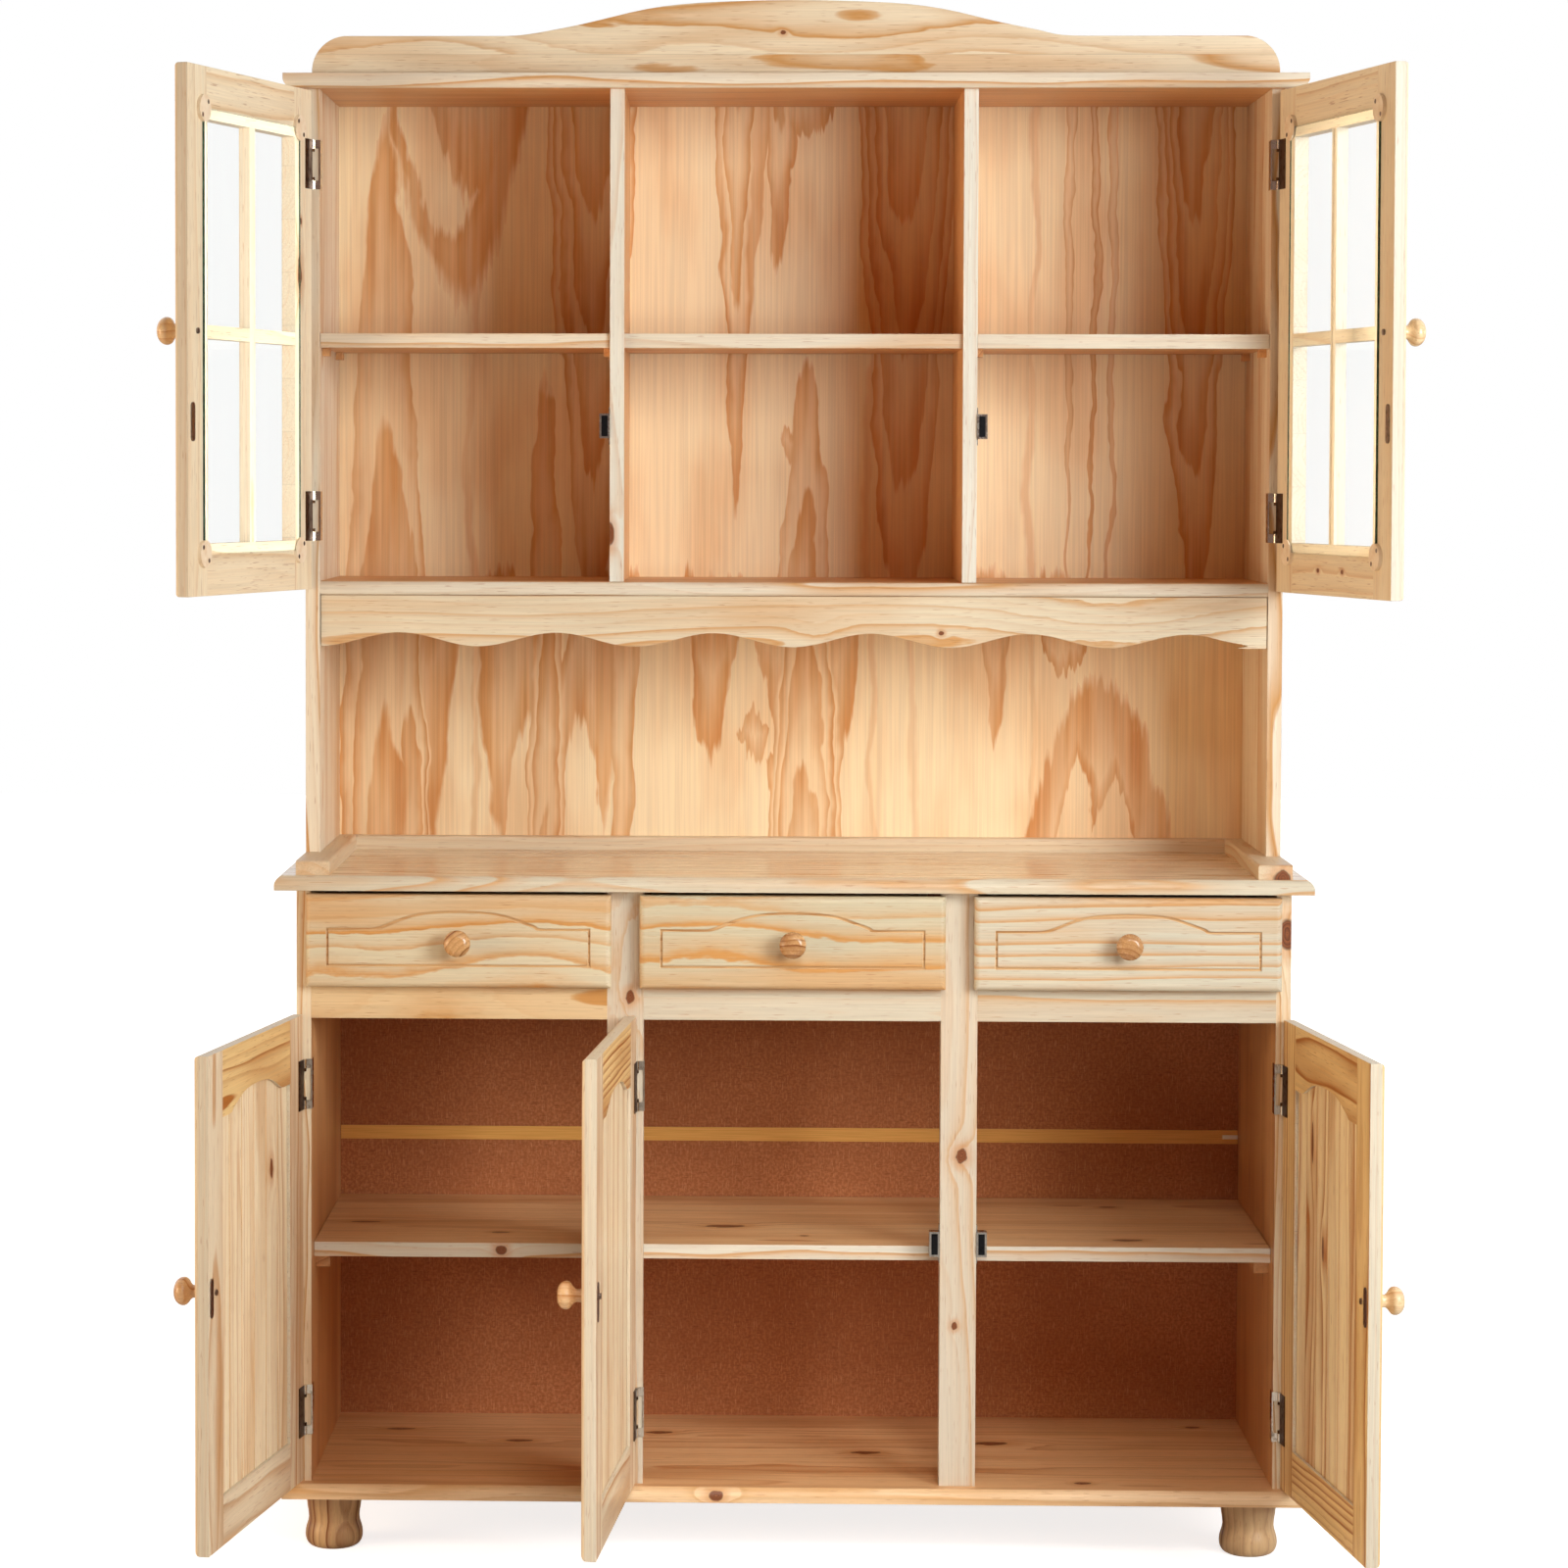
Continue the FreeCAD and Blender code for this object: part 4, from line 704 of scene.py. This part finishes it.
lay_grain("hutch_foot_strips", strip_board)
strip_pine = pine("foot strip pine", stave=0.045, ring=0.010, wander=0.05, pale=(228, 208, 176),
                  knots=((101, 0.0, 0.029, 0.011, 0.9, 0.002),))
dress("hutch_foot_strips", "pine", strip_pine)

# Hutch sides and dividers
# Upright panels of edge-glued pine. The sides carry the glazed doors, and the dividers stand between the
# hutch floor and the top board; their broad faces take the amber pine, which is painted shade.
lay_grain("hutch_sides", lambda place: (104 + (place.x > 0), "Z"))
hutch_side_pine = pine("hutch side pine", stave=0.094, ring=0.009, pale=(240, 227, 203))
dress("hutch_sides", "pine", hutch_side_pine)
lay_grain("hutch_dividers", lambda place: (106 + (place.x > 0), "Z"))
divider_pine = pine("divider pine", stave=0.091, ring=0.009, summer=0.35, pale=(230, 226, 212),
                    knots=((106, 0.06, 0.0, 0.006, 2.6, 0.0),))
dress("hutch_dividers", "pine", divider_pine, shade_painted_pine,
      choose=lambda face: int(abs(face.normal.x) > face_on))

# Hutch floor and shelves
# Edge-glued pine boards with eased noses. The floor lies between the sides, the middle shelf between the
# dividers, and the outer shelves lie loose on small blocks.
lay_grain("hutch_floor", (108, "X"))
floor_pine = pine("hutch floor pine", stave=0.088, ring=0.010, wander=0.05, pale=(229, 218, 197))
# Top and underside take the amber pine as painted shade; the other faces keep the paler pine.
dress("hutch_floor", "pine", floor_pine, shade_painted_pine, choose=is_level)
bay_low, bay_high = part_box("hutch_dividers")
lay_grain("hutch_shelves", lambda place: (109 + (place.x > bay_low.x) + (place.x > bay_high.x), "X"))
# The shelves' top and underside take the amber pine as painted shade too.
dress("hutch_shelves", "pine", floor_pine, shade_painted_pine, choose=is_level)

# Hutch back
# One sheet of rotary-peeled pine plywood. Peeling follows the rings so slowly that its figure is broad tan
# flames with feathered tips, cream arches between them and thin upright veins. Three broad flames in the
# bays are painted shade.


def make_flame():
    """One tongue of tan wood, above zero inside it: it hangs to its tip, or stands up to it if its length is
    negative."""
    tree, given, result = new_group(
        "veneer flame", {"X": 0.0, "Z": 0.0, "Across": 0.0, "Tip": 0.0, "Half Width": 0.03, "Length": 0.1},
        {"Inside": "Float"})
    rise = calc(tree, "DIVIDE", minus(tree, given["Z"], given["Tip"]), given["Length"])
    spread = calc(tree, "DIVIDE", minus(tree, given["X"], given["Across"]), given["Half Width"])
    fill(tree, result, {"Inside": minus(tree, rise, calc(tree, "POWER", spread, 2.0))})
    return tree


flame_shape = make_flame()
ply_pine, tree, shader = new_finish("peeled pine plywood")
sheet = object_axes(tree)
fibre = speckle(tree, sheet, (420.0, 1.0, 5.0), 2.0)
bend = speckle(tree, sheet, (22.0, 1.0, 9.0), 3.0)
tear = speckle(tree, sheet, (210.0, 1.0, 12.0), 3.0)
bend_width = 0.034
tear_height = 0.06
bent_x = pushed(tree, sheet[0], bend, bend_width)
torn_z = pushed(tree, pushed(tree, sheet[2], tear, tear_height), bend, tear_height)


def flames(*shapes):
    """The union of flames, each given as its middle, tip, half width and length."""
    union = -9.0
    for shape in shapes:
        fills = dict(zip(("X", "Z", "Across", "Tip", "Half Width", "Length"), (bent_x, torn_z, *shape)))
        inside = put(tree, "Group", fills, node_tree=flame_shape).outputs[0]
        union = calc(tree, "MAXIMUM", union, inside)
    return union


def island(across, low_tip, low_width, low_length, high_tip, high_width, high_length):
    """A closed patch of tan wood, between a hanging flame and a standing one."""
    lower = flames((across, low_tip, low_width, low_length))
    return calc(tree, "MINIMUM", lower, flames((across, high_tip, high_width, high_length)))


hanging = flames((-0.507, 0.70, 0.061, 0.35), (-0.318, 0.60, 0.085, 0.4), (-0.222, 0.60, 0.017, 0.4),
                 (-0.100, 0.975, 0.027, 0.126), (-0.003, 0.990, 0.035, 0.10), (0.061, 0.972, 0.025, 0.137),
                 (0.270, 0.993, 0.018, 0.109), (0.363, 1.080, 0.025, 0.034), (0.407, 1.075, 0.080, -0.15))
islands = calc(tree, "MAXIMUM", island(-0.051, 0.950, 0.018, 0.045, 1.035, 0.018, -0.04),
               island(0.003, 0.865, 0.030, 0.05, 0.998, 0.037, -0.04))
arches = flames((-0.345, 1.015, 0.033, -0.135), (-0.280, 1.011, 0.030, -0.13), (0.375, 0.958, 0.021, -0.074),
                (0.428, 0.930, 0.027, -0.046), (-0.318, 1.085, 0.030, 0.06))
low_tan = calc(tree, "MINIMUM", calc(tree, "MAXIMUM", hanging, islands), times(tree, arches, -1.0))
drift = speckle(tree, sheet, (14.0, 1.0, 0.5), 2.0)
ceiling = plus(tree, 1.11, times(tree, drift, 0.2))
low_tan = calc(tree, "MINIMUM", low_tan, times(tree, minus(tree, ceiling, torn_z), 9.0))
tongue = flames((-0.438, 1.573, 0.092, 0.255))
tongue_pale = flames((-0.452, 1.655, 0.058, 0.13))
tongue_heart = flames((-0.415, 1.711, 0.060, 0.113))
# The broad flames at -0.262, 0.150 and 0.530 are painted shade: tan laid over the right-hand part of each
# bay, where the shadow falls.
stripes_and_painted_shade = flames((-0.533, 1.805, 0.034, -0.27), (-0.262, 1.16, 0.025, 0.12), (-0.324, 1.475, 0.016, -0.2),
                 (-0.504, 1.49, 0.016, -0.16), (-0.058, 1.55, 0.022, 0.22), (-0.018, 1.62, 0.016, 0.12),
                 (0.012, 1.775, 0.045, 0.05), (-0.092, 1.62, 0.009, 0.2), (-0.072, 1.30, 0.014, 0.18),
                 (0.02, 1.49, 0.022, -0.12), (0.150, 1.16, 0.028, 0.12), (0.365, 1.17, 0.006, 0.6),
                 (0.398, 1.18, 0.005, 0.6), (0.421, 1.17, 0.006, 0.6), (0.530, 1.16, 0.022, 0.12))
drops = calc(tree, "MAXIMUM", island(-0.006, 1.345, 0.012, 0.05, 1.41, 0.012, -0.04),
             island(-0.538, 1.375, 0.017, 0.04, 1.437, 0.022, -0.03))
tongue = calc(tree, "MINIMUM", tongue, times(tree, tongue_pale, -1.0))
high_tan = calc(tree, "MAXIMUM", tongue, tongue_heart)
high_tan = calc(tree, "MAXIMUM", high_tan, calc(tree, "MAXIMUM", stripes_and_painted_shade, drops))
inside = calc(tree, "MAXIMUM", low_tan, high_tan)
streak = speckle(tree, sheet, (60.0, 1.0, 2.0), 2.0)
depth = times(tree, plus(tree, inside, 0.06), 0.7)
depth = calc(tree, "FRACT", depth)
band = eased(tree, depth, 0.0, 1.0, 1.0, 0.3)
band = times(tree, band, eased(tree, depth, 0.0, 0.1, 0.3, 1.0))
flame = times(tree, band, eased(tree, inside, -0.06, -0.05))
flame = times(tree, flame, eased(tree, streak, 0.34, 0.64, 0.65, 1.0))
cloud = eased(tree, speckle(tree, sheet, (11.0, 1.0, 3.4), 3.0), 0.40, 0.68, 0.0, 0.42)
cloud = plus(tree, cloud, eased(tree, streak, 0.45, 0.7, 0.0, 0.07))
swing = speckle(tree, sheet, (0.6, 1.0, 2.6), 2.0)
vein_place = times(tree, plus(tree, bent_x, times(tree, swing, 0.05)), 19.0)
vein_number = calc(tree, "FLOOR", vein_place)
vein_luck = put(tree, "TexWhiteNoise", {"W": vein_number}, noise_dimensions="1D").outputs["Value"]
vein = calc(tree, "ABSOLUTE", minus(tree, calc(tree, "FRACT", vein_place), 0.5))
vein = eased(tree, vein, 0.03, 0.17, 1.0, 0.0)
vein = times(tree, vein, eased(tree, vein_luck, 0.5, 1.0, 0.0, 0.5))
tan_share = calc(tree, "MAXIMUM", calc(tree, "MAXIMUM", flame, cloud), vein)
colour = blend(tree, tan_share, tint(253, 230, 188), tint(223, 161, 97))
colour = blend(tree, times(tree, flame, cloud), colour, tint(190, 112, 54))
colour = shaded(tree, colour, eased(tree, fibre, 0.3, 0.7, 0.92, 1.04))
bumps = put(tree, "Bump", {"Strength": 0.2, "Distance": 0.0003, "Height": fibre}).outputs[0]
dullness = eased(tree, fibre, 0.3, 0.7, 0.38, 0.5)
fill(tree, shader, {"Base Color": colour, "Roughness": dullness, "Normal": bumps, "Specular IOR Level": 0.3})
dress("hutch_back_panel", "plywood", ply_pine)

# Valance, top board and crest
# Solid pine: the valance is bandsawn to six scallops, the top board is moulded, the crest is bandsawn to an
# arch. The crest is glued up from a narrow and a wide board, and doweled on the top board.
lay_grain("scalloped_valance", (113, "X"))
valance_pine = pine("valance pine", stave=0.09, ring=0.012, wander=0.06, pale=(225, 211, 183),
                    knots=((113, 0.782, 0.018, 0.003, 1.2),),
                    eyes=((113, 0.626, 0.025, 0.008, 1.8), (113, 0.992, 0.039, 0.016, 3.5)))
dress("scalloped_valance", "pine", valance_pine)
lay_grain("hutch_top_board", (114, "X"))
# The underside, which looks into the bays, takes the amber pine as painted shade.
dress("hutch_top_board", "pine", floor_pine, shade_painted_pine, choose=lambda face: int(face.normal.z < -face_on))
lay_grain("crest_board", (115, "X"))
crest_eyes = ((115, 0.162, 0.036, 0.014, 4.5), (115, 0.836, 0.037, 0.012, 4.0),
              (115, 0.457, 0.044, 0.010, 5.0))
crest_pine = pine("crest pine", stave=0.1, start=0.076, ring=0.013, wander=0.06,
                  knots=((115, 0.59, 0.051, 0.003, 1.2),), eyes=crest_eyes)
dress("crest_board", "pine", crest_pine)

# Upper doors
# Glazed pine doors hung on the hutch with the same hinges and knobs as the lower ones: stiles, rails and
# glazing bars in front of one pane, which four round clips hold.
sash_edge_pine = pine("sash edge pine", stave=0.066, ring=0.006, wander=0.003, summer=0.25,
                      pale=(216, 205, 183))
sash_knots = ((120, 0.395, 0.040, 0.009, 2.4), (120, 0.46, 0.034, 0.003, 1.4), (132, 0.10, 0.03, 0.003, 1.5),
              (132, 0.18, 0.03, 0.003, 1.5))
sash_pine = pine("sash pine", stave=0.066, ring=0.010, wander=0.02, summer=0.6, pale=(245, 229, 197),
                 tan=(216, 168, 108), knots=sash_knots)
sash_rail = 0.062
bar_half_width = 0.0081
for number, body in ((120, "upper_door_left"), (130, "upper_door_right")):
    turn, hinge, reach = shut(body)
    door_low, door_high, near, far = door_span(body)

    def sash_board(place):
        """The hinge stile, the free stile, the bottom or top rail, the upright bar or the cross bars."""
        out = reach * (place.x - hinge.x)
        if out < near + door_stile:
            return number, "Z"
        if out > far - door_stile:
            return number + 1, "Z"
        if place.z < door_low + sash_rail:
            return number + 2, "X"
        if place.z > door_high - sash_rail:
            return number + 3, "X"
        if abs(out - (near + far) / 2) < bar_half_width:
            return number + 4, "Z"
        return number + 5, "X"

    lay_grain(body + "_frame", sash_board, turn)
    dress(body + "_frame", "pine", sash_pine, sash_edge_pine, choose=lambda face: is_edge(face, turn))
    lay_grain(body + "_knob", (number + 6, "Y"), turn)
    dress(body + "_knob", "pine", lit_door_knob_pine)
    dress(body + "_hardware", "bronze", bronze, strike_steel, choose=lambda face: past_leaf(face, hinge))

# Glass panes
# One sheet of clear float glass in the back of each glazed door, which lets the lamps' light through.
# Its cut edges look dark green, because light runs along the sheet.
pane, tree, shader = new_finish("clear pane")
fill(tree, shader, {"Base Color": (0.985, 1.0, 0.992, 1.0), "Roughness": 0.0, "IOR": 1.1,
                    "Transmission Weight": 1.0})
pane_edge, tree, shader = new_finish("green pane edge")
chips = speckle(tree, object_axes(tree), (300.0, 300.0, 120.0), 2.0)
edge_green = blend(tree, eased(tree, chips, 0.4, 0.7), tint(28, 58, 46), tint(58, 96, 78))
fill(tree, shader, {"Base Color": edge_green, "Roughness": 0.25})
for body in ("upper_door_left", "upper_door_right"):
    turn = shut(body)[0]
    dress(body + "_glass", "glass", pane, pane_edge, choose=lambda face: is_edge(face, turn))
    frame["nodes"][body + "_glass"].visible_shadow = False

# Glass clips
# Round clips of beige moulded plastic at the corners of each pane.
# Two small screws beside the pane hold each clip on the door.
clip_plastic, tree, shader = new_finish("beige clip plastic")
grime = speckle(tree, object_axes(tree), (80.0, 80.0, 80.0), 3.0)
beige = blend(tree, eased(tree, grime, 0.35, 0.75), tint(244, 226, 198), tint(232, 206, 170))
fill(tree, shader, {"Base Color": beige, "Roughness": eased(tree, grime, 0.3, 0.7, 0.32, 0.5)})
for body in ("upper_door_left", "upper_door_right"):
    dress(body + "_clips", "clip_plastic", clip_plastic)

# Frame hinges, pins, catches, screws and dowels
# Bright nickel plated hinge leaves, screwed to the frame, and their pins. The catches are folded steel
# brackets that hold a black magnet, and the dowels are pine pegs hidden in their holes.
nickel = plated("bright nickel", (224, 214, 198), (150, 140, 128), 0.1, 0.32)
dress("hinge_frame_leaves", "nickel", nickel)
dress("hinge_pins", "nickel", nickel)
magnet = plated("black magnet", (40, 40, 42), (24, 24, 26), 0.4, 0.6)
magnet_half_width = 0.0041
magnet_half_height = 0.0131
magnet_depth = 0.0061
magnet_face_area = 0.00002
catch_corners = frame["nodes"]["magnetic_catches"].data.vertices


def is_magnet(face):
    """1 for a face that fits the magnet and is too large for an edge of the bracket, else 0."""
    spots = [catch_corners[corner].co for corner in face.vertices]
    wide, deep, tall = (max(spot[i] for spot in spots) - min(spot[i] for spot in spots) for i in range(3))
    return int(wide < 2 * magnet_half_width and tall < 2 * magnet_half_height and deep < magnet_depth
               and face.area > magnet_face_area)


dress("magnetic_catches", "steel", steel, magnet, choose=is_magnet)
dress("frame_screws", "steel", strike_steel)
lay_grain("dowels", (150, "Z"))
dress("dowels", "pine", rail_pine)

# Studio
# A plain pale floor in a room that looks white to the camera, and a long lens near eye height.
# A soft key light stands at the right, a warm light at the left and a weak one high in front.
floor_mesh = bpy.data.meshes.new("floor")
floor_half = 12.0
white = (1.0, 1.0, 1.0, 1.0)
scene = bpy.context.scene
corners = ((-floor_half, -floor_half, 0), (floor_half, -floor_half, 0), (floor_half, floor_half, 0),
           (-floor_half, floor_half, 0))
floor_mesh.from_pydata(corners, [], [(0, 1, 2, 3)])
floor = bpy.data.objects.new("floor", floor_mesh)
scene.collection.objects.link(floor)


def seen(tree):
    """1 for rays from the camera or through glass, and 0 for light that spreads."""
    path = put(tree, "LightPath", {}).outputs
    return calc(tree, "MAXIMUM", path["Is Camera Ray"], path["Is Transmission Ray"])


paper, tree, shader = new_finish("white paper")
floor_place = object_axes(tree)
from_part = distance(tree, floor_place[0], floor_place[1])
shadow_end = 1.2
white_start = 3.6
glow = eased(tree, from_part, shadow_end, white_start, 0.78, 1.0)
fill(tree, shader, {"Base Color": (0.7, 0.7, 0.7, 1.0), "Roughness": 0.9, "Specular IOR Level": 0.0,
                    "Emission Color": white, "Emission Strength": times(tree, seen(tree), glow)})
floor.data.materials.append(paper)

world = bpy.data.worlds.new("studio")
world.use_nodes = True
scene.world = world
tree = world.node_tree
sky = tree.nodes["Background"]
warm_front = (0.14, 0.042, 0.013, 1.0)
pale_back = (0.6, 0.58, 0.55, 1.0)
up_and_back = (0.0, 0.6, 0.8)
heading = put(tree, "TexCoord", {}).outputs["Generated"]
behind = put(tree, "VectorMath", {0: heading, 1: up_and_back}, operation="DOT_PRODUCT").outputs["Value"]
room = blend(tree, eased(tree, behind, 0.2, 0.8), warm_front, pale_back)
backward = parts(tree, heading)[1]
mirrored = put(tree, "LightPath", {}).outputs["Is Glossy Ray"]
mirrored = times(tree, mirrored, eased(tree, backward, -0.3, 0.3, 0.12, 1.0))
room = blend(tree, mirrored, room, white)
fill(tree, sky, {"Color": blend(tree, seen(tree), room, white), "Strength": 1.0})


def soft_box(name, place, aim, width, power, color, spread=180):
    """A square soft box that faces its aim; a grid in front of it can narrow its spread, in degrees."""
    light = bpy.data.lights.new(name, "AREA")
    light.size = width
    light.energy = power
    light.color = color
    light.spread = math.radians(spread)
    lamp = bpy.data.objects.new(name, light)
    lamp.location = place
    lamp.rotation_euler = (Vector(aim) - Vector(place)).to_track_quat("-Z", "Y").to_euler()
    lamp.visible_camera = False
    scene.collection.objects.link(lamp)


soft_box("key light", (2.4, -2.6, 1.8), (0, 0.2, 1.5), 1.7, 74, (0.95, 1.0, 1.02), 140)
soft_box("left light", (-3.4, -1.3, 1.0), (0.3, -0.2, 0.9), 1.6, 62, (1.0, 0.75, 0.48))
soft_box("high front light", (0.3, -2.1, 2.1), (0, 0.2, 0.0), 0.9, 1.9, (1.0, 0.97, 0.92), 36)

camera_data = bpy.data.cameras.new("camera")
camera_data.sensor_width = 36.0
camera_data.lens = 94.32
camera_data.shift_x = 0.09375
camera_data.shift_y = -0.09375
camera = bpy.data.objects.new("camera", camera_data)
camera_place = (-0.064, -5.0587, 1.3441)
yaw, pitch, roll = (math.radians(angle) for angle in (1.459, 2.277, 0.128))
level = Matrix.Rotation(yaw, 4, "Z") @ Matrix.Rotation(math.pi / 2, 4, "X")
aim = level @ Matrix.Rotation(-pitch, 4, "X") @ Matrix.Rotation(roll, 4, "Z")
camera.matrix_world = Matrix.Translation(camera_place) @ aim
scene.collection.objects.link(camera)
scene.camera = camera
scene.view_settings.view_transform = "Standard"
